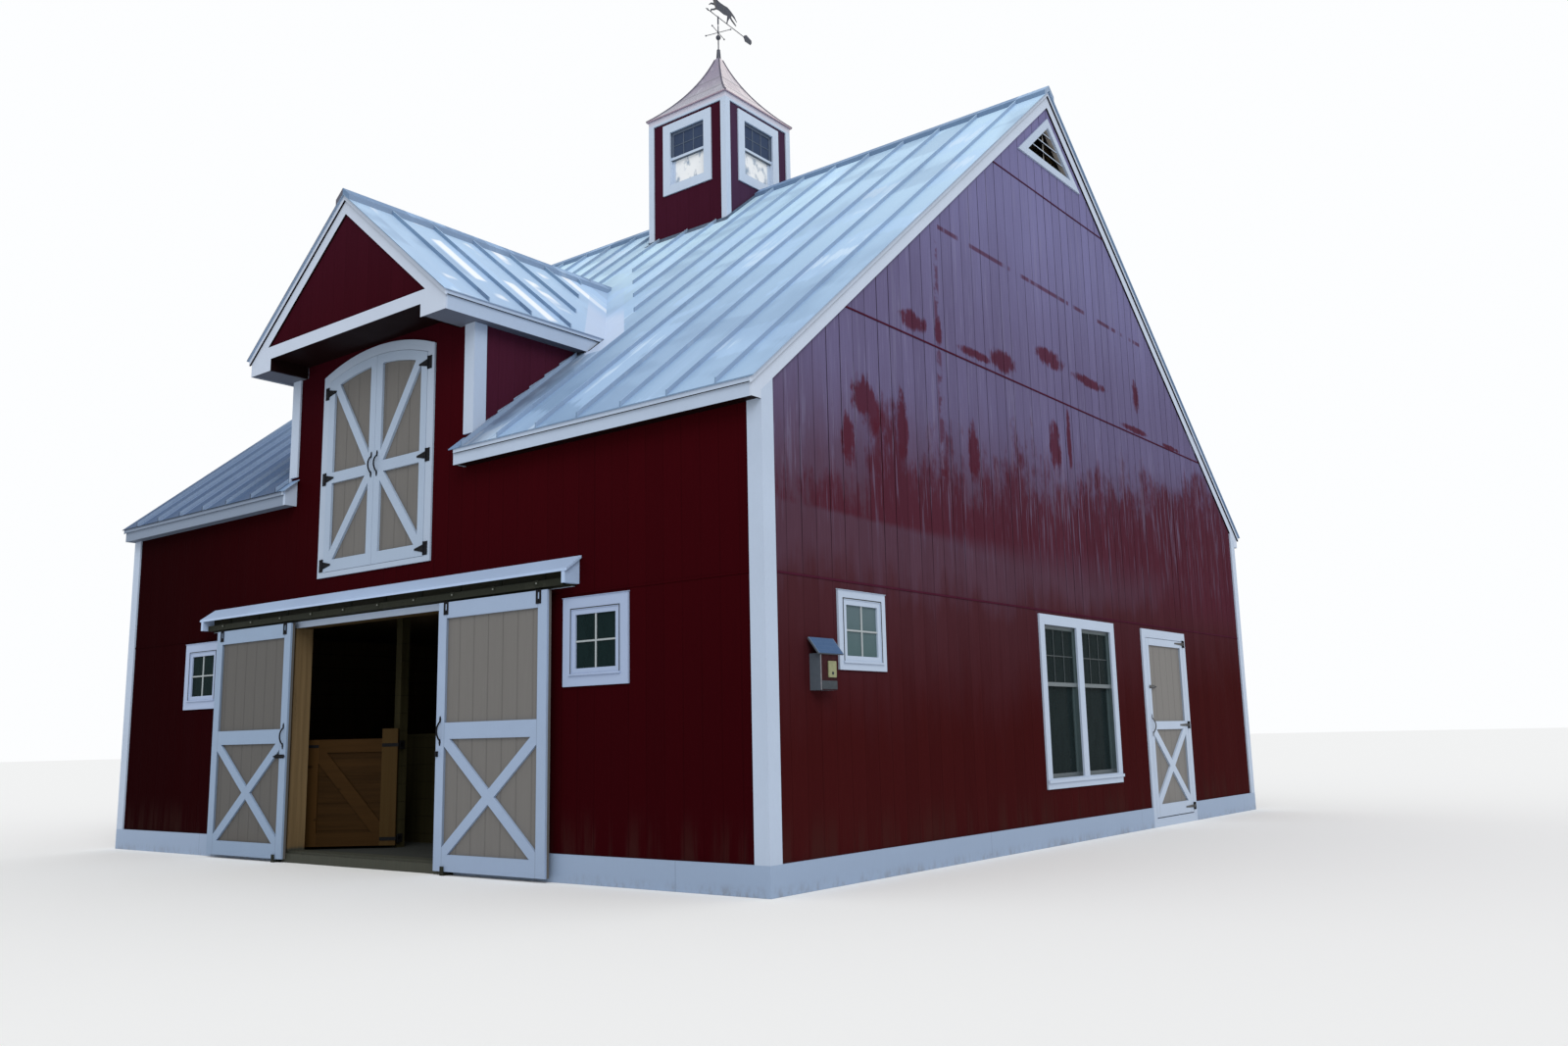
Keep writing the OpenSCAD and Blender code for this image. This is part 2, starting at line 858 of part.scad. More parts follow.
module rake_boards() {
  tip = dormer_half + fascia_face;
  foot_z = dormer_eave_z - dormer_fascia_drop;
  inner = tip - return_w;
  band_half = dormer_tip - (band_z + band_h - (dormer_eave_z - sheet_v - rake_v))/slope;
  strip_v = strip_h/cos(pitch);
  far = half_dep + fascia_face + strip_t;
  dormer_far = tip + strip_t;
  color(trim_white) {
    both_x() {
      yz(half_len, half_len + board_t)
        rake_outline();
      yz(half_len + board_t, half_len + board_t + strip_t)
        both_sides()
          polygon([[0, deck_top(0)], [far, deck_top(far)], [far, deck_top(far) - strip_v],
            [0, deck_top(0) - strip_v]]);
    }
    xz(-dormer_face - strip_t, -dormer_face)
      both_sides()
        polygon([[0, dormer_top(0)], [dormer_far, dormer_top(dormer_far)],
          [dormer_far, dormer_top(dormer_far) - strip_v], [0, dormer_top(0) - strip_v]]);
    xz(-dormer_face, -dormer_face + board_t)
      both_sides()
        polygon([[0, dormer_top(0)], [tip, dormer_top(tip)], [tip, foot_z], [inner, foot_z],
          [inner, band_z], [0, band_z], [0, band_z + band_h], [band_half, band_z + band_h],
          [0, dormer_top(0) - rake_v]]);
  }
}

// Fascia and soffit, in section for an eave on the -Y side
module eave_outline(face, bottom, top) {
  back = face - board_t;
  square_between(-face, bottom, -back, top);
  square_between(-back - 1, bottom + soffit_lip, 0, bottom + soffit_lip + soffit_t);
}

// Strip along the top of the fascia
module strip_outline(face, top) {
  square_between(-face - strip_t, top - strip_h, -face, top);
}
module square_between(x0, z0, x1, z1) {
  translate([x0, z0])
    square([x1 - x0, z1 - z0]);
}

module main_eave(x0, x1) {
  top = floor(deck_top(half_dep + fascia_face + strip_t));
  yz(x0, x1)
    translate([-half_dep, 0])
      eave_outline(fascia_face, fascia_z, top);
  yz(x0, x1 + board_t)
    translate([-half_dep, 0])
      strip_outline(fascia_face, top);
}

// Board that closes the end of an eave
module eave_end_outline() {
  tip = half_dep + fascia_face;
  polygon([[-tip, fascia_z], [-half_dep, fascia_z], [-half_dep, deck_top(half_dep)],
    [-tip, deck_top(tip)]]);
}

// Eaves of the main roof and of the dormer, and the soffit under the dormer's gable
module eave_trim() {
  foot_z = dormer_eave_z - dormer_fascia_drop;
  top = floor(dormer_top(dormer_half + fascia_face + strip_t));
  color(trim_white) {
    both_x() {
      main_eave(dormer_half - stub_w, half_len);
      yz(dormer_half - stub_w - board_t, dormer_half - stub_w)
        eave_end_outline();
    }
    mirror([0, 1, 0]) {
      main_eave(0, half_len);
      mirror([1, 0, 0])
        main_eave(0, half_len);
    }
    both_x()
      difference() {
        rotate([0, 0, 90]) {
          yz(-dormer_face + board_t, -reach(foot_z + dormer_fascia_drop))
            translate([-dormer_half, 0])
              eave_outline(fascia_face, foot_z, top);
          yz(-dormer_face, -reach(foot_z + dormer_fascia_drop))
            translate([-dormer_half, 0])
              strip_outline(fascia_face, top);
        }
        under_sheet();
      }
    block([-gable_tri_half, -dormer_face + board_t, band_z],
      [gable_tri_half, -half_dep, band_z + soffit_t]);
    both_x() {
      block([box_inner, -dormer_face + board_t, foot_z + soffit_lip],
        [dormer_half + 1, -half_dep, foot_z + soffit_lip + soffit_t]);
      block([box_inner, -dormer_face + board_t, foot_z + soffit_lip],
        [box_inner + soffit_t, -half_dep, band_z + 1]);
    }
  }
}
// Inner side of the boxes at the feet of the dormer's gable
box_inner = dormer_half + fascia_face - return_w + 5;

// Everything under the main roof sheet on the front side
module under_sheet() {
  far = half_dep + 2*dormer_out;
  yz(-2*dormer_tip, 2*dormer_tip)
    polygon([[-far, 0], [-far, pan(far)], [0, pan(0)], [0, 0]]);
}

// Corner boards of the barn and of the dormer, each an L of two boards
module corner_boards() {
  soffit_z = fascia_z + soffit_lip;
  color(trim_white) {
    both_x()
      both_y() {
        block([half_len + board_t - corner_w, -half_dep - board_t, base_h],
          [half_len, -half_dep, soffit_z]);
        yz(half_len, half_len + board_t)
          polygon([[-half_dep - board_t, base_h],
            [-half_dep - board_t + corner_w, base_h],
            [-half_dep - board_t + corner_w,
              deck_top(half_dep + board_t - corner_w) - rake_v],
            [-half_dep - board_t, deck_top(half_dep + board_t) - rake_v]]);
      }
    both_x()
      difference() {
        union() {
          block([dormer_half + board_t - corner_w, -half_dep - board_t,
            pan(half_dep) + leaf_gap], [dormer_half, -half_dep,
            dormer_foot_z + soffit_lip]);
          block([dormer_half, -half_dep - board_t, 0], [dormer_half + board_t,
            -half_dep - board_t + corner_w, dormer_foot_z + soffit_lip]);
        }
        under_sheet();
      }
  }
}
dormer_foot_z = dormer_eave_z - dormer_fascia_drop;
// Gap between the roof sheet and the foot of the dormer's front corner boards
leaf_gap = 27;

module base_boards() {
  color(trim_white) {
    both_x()
      block([door_half + post_reveal, -half_dep - board_t, 0],
        [half_len + board_t, -half_dep, base_h]);
    block([-half_len - board_t, half_dep, 0], [half_len + board_t, half_dep + board_t, base_h]);
    block([-half_len - board_t, -half_dep, 0], [-half_len, half_dep, base_h]);
    block([half_len, -half_dep, 0],
      [half_len + board_t, walk_y - walk_casing, base_h]);
    block([half_len, walk_y + walk_w + walk_casing, 0],
      [half_len + board_t, half_dep, base_h]);
  }
}
post_reveal = 90;

rail_out = panel_out + (panel_t + frame_t)/2;
rail_w_box = 64;
rail_h_box = 60;
rail_wall = 4;
rail_slot = 20;
rail_z = slide_top + 22;
track_board_t = 38;
bracket_count = 10;
bracket_pitch = 590;

// Box rail with its board, brackets and the two floor guides
module door_track() {
  color(galvanised) {
    yz(-track_half, track_half)
      translate([-half_dep - rail_out, rail_z])
        difference() {
          square_between(-rail_w_box/2, 0, rail_w_box/2, rail_h_box);
          square_between(-rail_w_box/2 + rail_wall, rail_wall, rail_w_box/2 - rail_wall,
            rail_h_box - rail_wall);
          square_between(-rail_slot/2, -cut, rail_slot/2, 2*rail_wall);
        }
    for (i = [0 : bracket_count - 1])
      yz(bracket_x(i) - 20, bracket_x(i) + 20)
        translate([-half_dep, rail_z + rail_h_box])
          polygon([[-track_board_t, 0], [-rail_front, 0], [-rail_front, -40],
            [-rail_front - 5, -40], [-rail_front - 5, 5], [-track_board_t - 6, 5],
            [-track_board_t - 6, 80], [-track_board_t, 80]]);
    both_x()
      guide();
  }
}
function bracket_x(i) = (i - (bracket_count - 1)/2)*bracket_pitch;
rail_front = rail_out + rail_w_box/2;

// Floor guide at the edge of the doorway, its lip in front of the door's foot
module guide() {
  translate([door_half + 60, -half_dep, 0]) {
    block([-25, -door_out - 14, 0], [25, 0, 20]);
    block([-25, -door_out - 14, 20], [25, -door_out - 8, slide_gap + 45]);
  }
}

hood_out = 174;
hood_low = 2646;
hood_top = 2770;
hood_v = 24;
hood_over = 25;
hood_cap_t = 45;
hood_cap_z = 2521;
hood_cap_out = 170;
function hood_under(out) = hood_top - hood_v - out*(hood_top - hood_low)/hood_out;

// Sloped board over the track, on two end caps
module door_hood() {
  color(trim_white)
    on_front() {
      yz(-hood_half, hood_half)
        polygon([[0, hood_top], [-hood_out, hood_low], [-hood_out, hood_under(hood_out)],
          [0, hood_under(0)]]);
      both_x()
        yz(board_end, board_end + hood_cap_t)
          polygon([[0, hood_under(0)], [-hood_cap_out, hood_under(hood_cap_out)],
            [-hood_cap_out, hood_cap_z], [0, hood_cap_z]]);
    }
}
// Half length of the boards between the hood's end caps
board_end = hood_half - hood_over - hood_cap_t;

header_past = 110;

// White board over the doorway and the track's backing board
module doorway_trim() {
  color(trim_white)
    on_front() {
      block([-door_half - header_past, -board_t, lower_h],
        [door_half + header_past, 0, rail_z - 10]);
      block([-board_end, -track_board_t, rail_z - 10], [board_end, 0, rail_z + rail_h_box + 85]);
    }
}

// Pine linings of the doorway and the threshold between them
module doorway_timbers() {
  color(pine) {
    both_x()
      block([door_half - jamb_t, -half_dep - board_t, floor_t],
        [door_half, -half_dep + wall_t + 20, lower_h]);
    block([-door_half, -half_dep - 60, 0], [door_half, -half_dep + wall_t, floor_t]);
    block([-door_half + jamb_t, -half_dep - board_t, floor_t],
      [door_half - jamb_t, -half_dep + wall_t, threshold_h]);
  }
}

// Casing and liner of the arched loft doorway
module loft_door_casing() {
  color(trim_white)
    on_front() {
      xz(-board_t, 0)
        difference() {
          arched(0, loft_z - 40);
          arched(loft_casing + liner_t, loft_z + liner_t);
        }
      xz(0, wall_t)
        difference() {
          arched(loft_casing, loft_z);
          arched(loft_casing + liner_t, loft_z + liner_t);
        }
    }
}

loft_gap = 4;
loft_leaf_inset = loft_casing + liner_t + loft_gap;
loft_leaf_z = loft_z + liner_t + loft_gap;

// One leaf's outline on the right of the middle line
module loft_leaf() {
  intersection() {
    arched(loft_leaf_inset, loft_leaf_z);
    translate([loft_gap/2, 0])
      square([loft_outer_half, loft_spring + loft_outer_r]);
  }
}

loft_stile = 100;
loft_bottom_rail = 125;
loft_cross_rail = 115;

// Stiles, rails and two braces of the right leaf
module loft_leaf_frame() {
  edge = loft_outer_half - loft_leaf_inset;
  low = loft_leaf_z + loft_bottom_rail;
  mid = loft_rail_z;
  difference() {
    loft_leaf();
    intersection() {
      arched(loft_leaf_inset + loft_stile, low);
      translate([loft_gap/2 + loft_stile, 0])
        square([loft_outer_half, loft_spring + loft_outer_r]);
    }
  }
  translate([loft_stile/2, mid - loft_cross_rail/2])
    square([edge - loft_stile, loft_cross_rail]);
  intersection() {
    loft_leaf();
    union() {
      bar(loft_stile/2, mid, edge - loft_stile/2, loft_spring, brace_w);
      bar(loft_stile/2, mid, edge - loft_stile/2, low - loft_stile/2, brace_w);
    }
  }
}

module loft_door_frames() {
  color(trim_white)
    on_front()
      both_x()
        xz(-board_t - 2, 4)
          loft_leaf_frame();
}

module loft_door_panels() {
  color(panel_beige)
    on_front()
      both_x()
        xz(4, 4 + panel_t)
          loft_leaf();
}

// T-hinge, a plate on the casing and a tapered strap on the leaf
module tee_hinge() {
  leaf_face = -board_t - 2;
  translate([0, leaf_face - 5, 0])
    cylinder(h = tee_h, r = 7, center = true);
  block([0, -board_t - 6, -tee_h/2], [58, -board_t, tee_h/2]);
  xz(leaf_face - 6, leaf_face)
    polygon([[0, -40], [0, 40], [-145, 8], [-145, -8]]);
}
tee_h = 135;

// Bow pull on a face at y = 0, with a pointed plate at each end
module bow_pull() {
  reach_out = 46;
  half = pull_h/2 - 36;
  bow_r = (half*half + reach_out*reach_out)/(2*reach_out);
  for (side = [-1, 1])
    xz(-4, 0)
      translate([0, side*(pull_h/2 - 30)])
        polygon([[-6, -30], [-14, 0], [-6, 30], [6, 30], [14, 0], [6, -30]]);
  yz(-6, 6)
    intersection() {
      translate([bow_r - reach_out, 0])
        difference() {
          circle(r = bow_r);
          circle(r = bow_r - 11);
        }
      translate([-reach_out - 1, -pull_h/2])
        square([reach_out + 1, pull_h]);
    }
}

// Hinges and pulls of the loft doors
module loft_door_hardware() {
  color(black_iron)
    on_front()
      both_x() {
        for (z = [loft_z + 90, loft_rail_z, loft_spring - 190])
          translate([loft_half - 6, 0, z])
            tee_hinge();
        translate([loft_stile/2, -board_t - 2, loft_rail_z + 40])
          bow_pull();
      }
}

// All windows of the walls, either their frames or their glass
module windows(glass) {
  on_front()
    for (side = [-1, 1])
      small_window(glass, side*small_x);
  on_rear()
    for (x = rear_windows)
      small_window(glass, x);
  on_right_gable() {
    gable_window(glass, -gable_small_y);
    twin_window(glass);
  }
  on_left_gable() {
    for (side = [-1, 1])
      gable_window(glass, side*gable_small_y);
    twin_window(glass);
  }
}

module small_window(glass, x) {
  window_part(glass, x, small_z, small_w, small_h, small_casing, wall_t, 0);
}

module gable_window(glass, x) {
  window_part(glass, x, gable_small_z, gable_small_w, gable_small_h, gable_casing, wall_t, 0);
}

module window_frames() {
  color(trim_white)
    windows(false);
}

module window_glass() {
  color(pane_blue) {
    windows(true);
    cupola_sides()
      cupola_window(true);
  }
}

// Casing, liner and sill of the walk doorway
module walk_door_casing() {
  color(trim_white)
    on_right_gable() {
      xz(-board_t, 0)
        difference() {
          square_between(walk_y - walk_casing, 0, walk_y + walk_w + walk_casing,
            walk_top + walk_casing);
          square_between(walk_y + liner_t, sill_h, walk_y + walk_w - liner_t,
            walk_top - liner_t);
        }
      xz(0, wall_t)
        difference() {
          square_between(walk_y, 0, walk_y + walk_w, walk_top);
          square_between(walk_y + liner_t, sill_h, walk_y + walk_w - liner_t,
            walk_top - liner_t);
        }
    }
}

vent_slats = 4;
slat_pitch = 120;

// Triangular vents with slanted slats in both gables
module gable_vents() {
  color(trim_white) {
    on_right_gable()
      gable_vent();
    on_left_gable()
      gable_vent();
  }
}

module gable_vent() {
  xz(-board_t, 0)
    difference() {
      vent_outline(0);
      vent_outline(vent_casing + liner_t);
    }
  xz(0, 90)
    difference() {
      vent_outline(vent_casing);
      vent_outline(vent_casing + liner_t);
    }
  intersection() {
    xz(0, 90)
      vent_outline(vent_casing + liner_t/2);
    union() {
      for (i = [0 : vent_slats - 1])
        translate([0, 0, vent_z + vent_casing + 25 + i*slat_pitch])
          yz(-vent_half, vent_half)
            polygon([[8, 0], [85, 62], [85, 74], [8, 12]]);
      xz(60, 90)
        pane(0, vent_z, 30, vent_half);
    }
  }
}

// Turns its children, drawn for a wall that faces -Y, to the cupola's four sides
module cupola_sides() {
  for (turn = [0 : 90 : 270])
    rotate([0, 0, turn])
      translate([0, -cupola_half, 0])
        children();
}

cupola_frieze_h = 100;

module cupola_walls() {
  color(barn_red)
    difference() {
      block([-cupola_half, -cupola_half, deck_top(0) - 2*cupola_half],
        [cupola_half, cupola_half, cupola_eave_z]);
      block([-cupola_half + cupola_t, -cupola_half + cupola_t, 0],
        [cupola_half - cupola_t, cupola_half - cupola_t, cupola_eave_z + cut]);
      roof_body();
      cupola_sides()
        window_hole(0, cupola_win_z, cupola_win_w, cupola_win_h, cupola_casing);
    }
}

// Everything under the main roof sheet, on both slopes
module roof_body() {
  far = 2*cupola_half;
  yz(-far, far)
    polygon([[-far, 0], [-far, pan(far) + seat], [0, pan(0) + seat], [far, pan(far) + seat],
      [far, 0]]);
}

module cupola_window(glass) {
  window_part(glass, 0, cupola_win_z, cupola_win_w, cupola_win_h, cupola_casing, cupola_t,
    cupola_win_z + cupola_win_h/2);
}

// Corner boards, frieze and window frames of the cupola
module cupola_trim() {
  edge = cupola_half + board_t;
  color(trim_white) {
    difference() {
      for (sx = [-1, 1], sy = [-1, 1])
        scale([sx, sy, 1])
          block([edge - cupola_board, edge - cupola_board, pan(edge) - 2*board_t],
            [edge, edge, cupola_eave_z]);
      block([-cupola_half, -cupola_half, 0], [cupola_half, cupola_half, cupola_eave_z + cut]);
      roof_body();
    }
    difference() {
      block([-edge, -edge, cupola_eave_z - cupola_frieze_h], [edge, edge, cupola_eave_z]);
      block([-cupola_half, -cupola_half, 0], [cupola_half, cupola_half, cupola_eave_z + cut]);
    }
    cupola_sides()
      cupola_window(false);
  }
}

bell_half = cupola_half + board_t + cupola_out;
bell_tip = 36;
bell_steps = 14;
// The roof's curve is an arc whose chord joins the eaves to the sleeve
bell_chord = norm([bell_half - bell_tip, bell_h]);
bell_bend = 2*(atan2(bell_h, bell_half - bell_tip) - bell_foot);
bell_r = bell_chord/(2*sin(bell_bend/2));
function bell_point(i) = let (t = bell_foot + bell_bend*i/bell_steps)
  [bell_half - bell_r*(sin(t) - sin(bell_foot)), bell_r*(cos(bell_foot) - cos(t))];
bell_lip = 14;

// Bell-shaped profile, drawn on both sides of the middle line
module bell_profile() {
  points = [for (i = [0 : bell_steps]) bell_point(i)];
  right = concat([[bell_half, -bell_lip]], points);
  left = [for (i = [len(right) - 1 : -1 : 0]) [-right[i][0], right[i][1]]];
  translate([0, cupola_eave_z + bell_lip])
    polygon(concat(right, left));
}

sleeve_r = 36;

module cupola_roof() {
  color(copper)
    intersection() {
      xz(-bell_half, bell_half)
        bell_profile();
      yz(-bell_half, bell_half)
        bell_profile();
    }
}

bell_top = cupola_eave_z + bell_lip + bell_h;
mast_r = 9;
spindle_z = 11600;
spindle_top = arrow_z - 12;

// Sleeve, mast, ball and compass arms
module vane_mast() {
  color(black_iron) {
    translate([0, 0, bell_top])
      cylinder(h = sleeve_top - bell_top, r1 = sleeve_r, r2 = sleeve_r*0.7);
    translate([0, 0, sleeve_top - 1])
      cylinder(h = spindle_z - sleeve_top + 1, r = mast_r);
    translate([0, 0, spindle_z - 1])
      cylinder(h = spindle_top - spindle_z + 1, r = spindle_r);
    translate([0, 0, ball_z])
      sphere(r = ball_r);
    for (turn = [15 : 90 : 285])
      rotate([0, 0, turn])
        translate([0, 0, arms_z]) {
          rotate([0, 90, 0])
            cylinder(h = arm_len, r = 5);
          translate([arm_len, 0, 0])
            sphere(r = 12);
        }
  }
}

low_board_t = 40;

// Tall gate post and the low board wall between its own posts
module stall_wall() {
  low_top = floor_t + low_wall_h;
  half = low_wall_len/2;
  color(pine) {
    translate([-post_x, -half_dep + post_y, 0])
      block([-post_s/2, -post_s/2, floor_t],
        [post_s/2, post_s/2, loft_floor_z - loft_floor_t]);
    translate([0, -half_dep + low_wall_y, 0]) {
      for (x = [-half, half - post_s])
        block([x, 0, floor_t], [x + post_s, post_s, low_top]);
      block([-half + post_s, 0, floor_t], [half - post_s, low_board_t, low_top]);
      block([-half, -20, low_top], [half, post_s + 20, low_top + 35]);
    }
  }
}

solar_y = -4912;
solar_z = 1530;

// Small metal control box on the gable under a solar panel that slopes away from the wall
module solar_box() {
  color([0.6, 0.62, 0.64])
    on_right_gable()
      translate([solar_y, 0, solar_z]) {
        block([-112, -105, 0], [112, 0, 290]);
        translate([16, -25, 420])
          rotate([52, 0, 0])
            block([-170, -166, -14], [170, 0, 0]);
        block([-12, -60, 280], [12, -42, 366]);
      }
}

module right_door_panel() {
  color(panel_beige)
    on_front()
      block([slide_open, -frame_out, slide_bottom],
        [slide_open + slide_w, -panel_out, slide_top]);
}

// Stiles, three rails and the crossed braces in the lower half
module right_door_frame() {
  left = slide_open;
  right = slide_open + slide_w;
  low = slide_bottom + rail_w;
  mid = lock_z - rail_w/2;
  high = lock_z + rail_w/2;
  color(trim_white)
    on_front()
      xz(-door_out, -frame_out) {
        difference() {
          square_between(left, slide_bottom, right, slide_top);
          square_between(left + stile_w, low, right - stile_w, mid);
          square_between(left + stile_w, high, right - stile_w, slide_top - rail_w);
        }
        bar(left + stile_w - 1, low - 1, right - stile_w + 1, mid + 1, brace_w);
        bar(left + stile_w - 1, mid + 1, right - stile_w + 1, low - 1, brace_w);
      }
}

strap_w = 66;
wheel_r = 20;
wheel_t = 10;
axle_r = 5;
stem_r = 4;
hanger_in = 110;
bolt_z = lock_z - 210;

// Two strap hangers with their trolleys and a bow pull
module slide_hardware() {
  on_front() {
    for (x = [slide_open + hanger_in, slide_open + slide_w - hanger_in])
      translate([x, 0, 0])
        hanger();
    translate([slide_open + stile_w/2, -door_out, lock_z])
      bow_pull();
  }
}

// Slide bolt on a face at y = 0, its free end at x = 0
module slide_bolt() {
  block([20, -5, -20], [190, 0, 20]);
  translate([0, -13, 0])
    rotate([0, 90, 0])
      cylinder(h = 200, r = 8);
  translate([150, -34, 0])
    rotate([90, 0, 0])
      translate([0, 0, -22])
        cylinder(h = 24, r = 6);
}

// Strap over the door's top, stem through the rail's slot and two wheels on an axle
module hanger() {
  wheel_z = rail_z + rail_wall + wheel_r + 1;
  difference() {
    block([-strap_w/2, -door_out - 6, slide_top - 118], [strap_w/2, -door_out, slide_top + 6]);
    block([-12, -door_out - 7, slide_top - 75], [12, -door_out + 1, slide_top - 14]);
  }
  block([-strap_w/2, -door_out - 6, slide_top], [strap_w/2, -rail_out + 12, slide_top + 6]);
  translate([0, -rail_out, slide_top + 5])
    cylinder(h = wheel_z - slide_top - 5, r = stem_r);
  translate([0, -rail_out + 22, wheel_z])
    rotate([90, 0, 0])
      cylinder(h = 44, r = axle_r);
  for (side = [-1, 1])
    translate([0, -rail_out + side*18 + wheel_t/2, wheel_z])
      rotate([90, 0, 0])
        cylinder(h = wheel_t, r = wheel_r);
}

module right_door_hardware() {
  color(black_iron) {
    slide_hardware();
    on_front()
      block([slide_open + 12, -door_out - 20, bolt_z - 25],
        [slide_open + 38, -door_out, bolt_z + 25]);
  }
}

module left_door_panel() {
  mirror([1, 0, 0])
    right_door_panel();
}

module left_door_frame() {
  mirror([1, 0, 0])
    right_door_frame();
}

module left_door_hardware() {
  color(black_iron)
    mirror([1, 0, 0]) {
      slide_hardware();
      translate([slide_open + 6, -half_dep - door_out, bolt_z])
        slide_bolt();
    }
}

walk_left = walk_y + liner_t + walk_gap;
walk_right = walk_y + walk_w - liner_t - walk_gap;
walk_bottom = sill_h + walk_floor_gap;
walk_head = walk_top - liner_t - walk_gap;
walk_stile = 85;
walk_lock_z = 1210;
walk_lock_w = 100;

module walk_door_panel() {
  color(panel_beige)
    on_right_gable()
      xz(-board_t + frame_t, -board_t + walk_t)
        square_between(walk_left, walk_bottom, walk_right, walk_head);
}

module walk_door_frame() {
  low = walk_bottom + rail_w;
  mid = walk_lock_z - walk_lock_w/2;
  high = walk_lock_z + walk_lock_w/2;
  color(trim_white)
    on_right_gable()
      xz(-board_t, -board_t + frame_t) {
        difference() {
          square_between(walk_left, walk_bottom, walk_right, walk_head);
          square_between(walk_left + walk_stile, low, walk_right - walk_stile, mid);
          square_between(walk_left + walk_stile, high, walk_right - walk_stile,
            walk_head - walk_stile);
        }
        bar(walk_left + walk_stile - 1, low - 1, walk_right - walk_stile + 1, mid + 1, brace_w);
        bar(walk_left + walk_stile - 1, mid + 1, walk_right - walk_stile + 1, low - 1, brace_w);
      }
}

pin_out = 13;
eye_r = pin_r + 3;
fixed_eye_h = 26;
eye_gap = 1;
// Line of the walk door's hinge pins, in the gap between the leaf and its jamb
walk_pin = walk_right + walk_gap/2;
walk_hinges = [walk_head - 30, walk_lock_z, walk_bottom + 75];

// Turning eye round a pin at the origin
module eye() {
  difference() {
    union() {
      cylinder(h = eye_h, r = eye_r, center = true);
      children();
    }
    cylinder(h = eye_h + 2, r = pin_r + pin_clear, center = true);
  }
}

// Hinge straps, bow pull and slide bolt of the walk door
module walk_door_hardware() {
  color(black_iron)
    on_right_gable() {
      for (z = walk_hinges)
        translate([walk_pin, -board_t - pin_out, z]) {
          eye()
            block([-eye_r, 0, -eye_h/2], [0, pin_out, eye_h/2]);
          xz(pin_out - strap_t, pin_out)
            polygon([[-eye_r + 1, -eye_h/2], [-eye_r + 1, eye_h/2], [-walk_strap, 9],
              [-walk_strap, -9]]);
        }
      translate([walk_left + walk_stile/2, -board_t, walk_lock_z])
        bow_pull();
      translate([walk_left + 4, -board_t, lock_z + 385])
        slide_bolt();
    }
}

// Fixed eyes of a hinge above and below the turning one, on the pin that joins them
module fixed_eyes() {
  cylinder(h = eye_h + 4, r = pin_r, center = true);
  for (side = [-1, 1])
    translate([0, 0, side*((eye_h + fixed_eye_h)/2 + eye_gap)]) {
      cylinder(h = fixed_eye_h, r = eye_r, center = true);
      translate([0, 0, -fixed_eye_h/2])
        children();
    }
}

// Fixed halves of the hinges, on the walk door's casing and on the gate post
module hinge_pins() {
  plate_h = eye_h + 2*fixed_eye_h + 2*eye_gap;
  color(black_iron) {
    on_right_gable()
      for (z = walk_hinges)
        translate([walk_pin, -board_t - pin_out, z]) {
          fixed_eyes()
            cube([eye_r + 6, pin_out, fixed_eye_h]);
          block([eye_r + 5, pin_out - strap_t, -plate_h/2], [78, pin_out, plate_h/2]);
        }
    for (z = gate_hinges)
      translate([gate_x, gate_y, z]) {
        fixed_eyes() {
          block([-6, 0, 0], [6, 36, fixed_eye_h]);
          block([-hinge_gap + 1, 26, 0], [-5, 36, fixed_eye_h]);
        }
        block([-hinge_gap, 22, -plate_h/2], [-hinge_gap + strap_t, 82, plate_h/2]);
      }
  }
}

// Cranked hinge straps and latch bar of the stall gate
module gate_hardware() {
  face = -gate_t/2 - 20;
  color(black_iron)
    translate([gate_x, gate_y, 0])
      rotate([0, 0, gate_angle]) {
        for (z = gate_hinges)
          translate([0, 0, z])
            eye() {
              block([-eye_r, face - strap_t, -eye_h/2], [-eye_r + strap_t, 0, eye_h/2]);
              block([-gate_strap, face - strap_t, -eye_h/2], [-eye_r + 1, face, eye_h/2]);
            }
        block([-gate_len - 50, face - strap_t, gate_hinges[0] - 15],
          [-gate_len + gate_frame, face, gate_hinges[0] + 15]);
      }
}

gate_t = 40;
gate_frame = 140;
stile_rise = 105;
heel_w = 170;
hinge_gap = 30;
// Hinge axis of the stall gate, off the post's front right corner
gate_x = -post_x + post_s/2 + hinge_gap;
gate_y = -half_dep + post_y - post_s/2 - 12;
gate_low = floor_t + gate_gap;
gate_hinges = [gate_low + gate_h - gate_frame/2, gate_low + gate_frame/2];

// Gate of level boards in a frame with one brace, latched at an angle
module stall_gate() {
  color(pine)
    translate([gate_x, gate_y, 0])
      rotate([0, 0, gate_angle])
        translate([-gate_len, 0, gate_low]) {
          block([0, -gate_t/2, 0], [gate_len - 12, 0, gate_h]);
          block([gate_len - 12 - heel_w, -gate_t/2 - 20, gate_h - 1],
            [gate_len - 12, 0, gate_h + stile_rise]);
          xz(-gate_t/2 - 20, -gate_t/2) {
            difference() {
              square_between(0, 0, gate_len - 12, gate_h);
              square_between(gate_frame, gate_frame, gate_len - 12 - heel_w,
                gate_h - gate_frame);
            }
            bar(gate_frame - 1, gate_h - gate_frame + 1, gate_len - 11 - heel_w,
              gate_frame - 1, gate_frame);
          }
        }
}

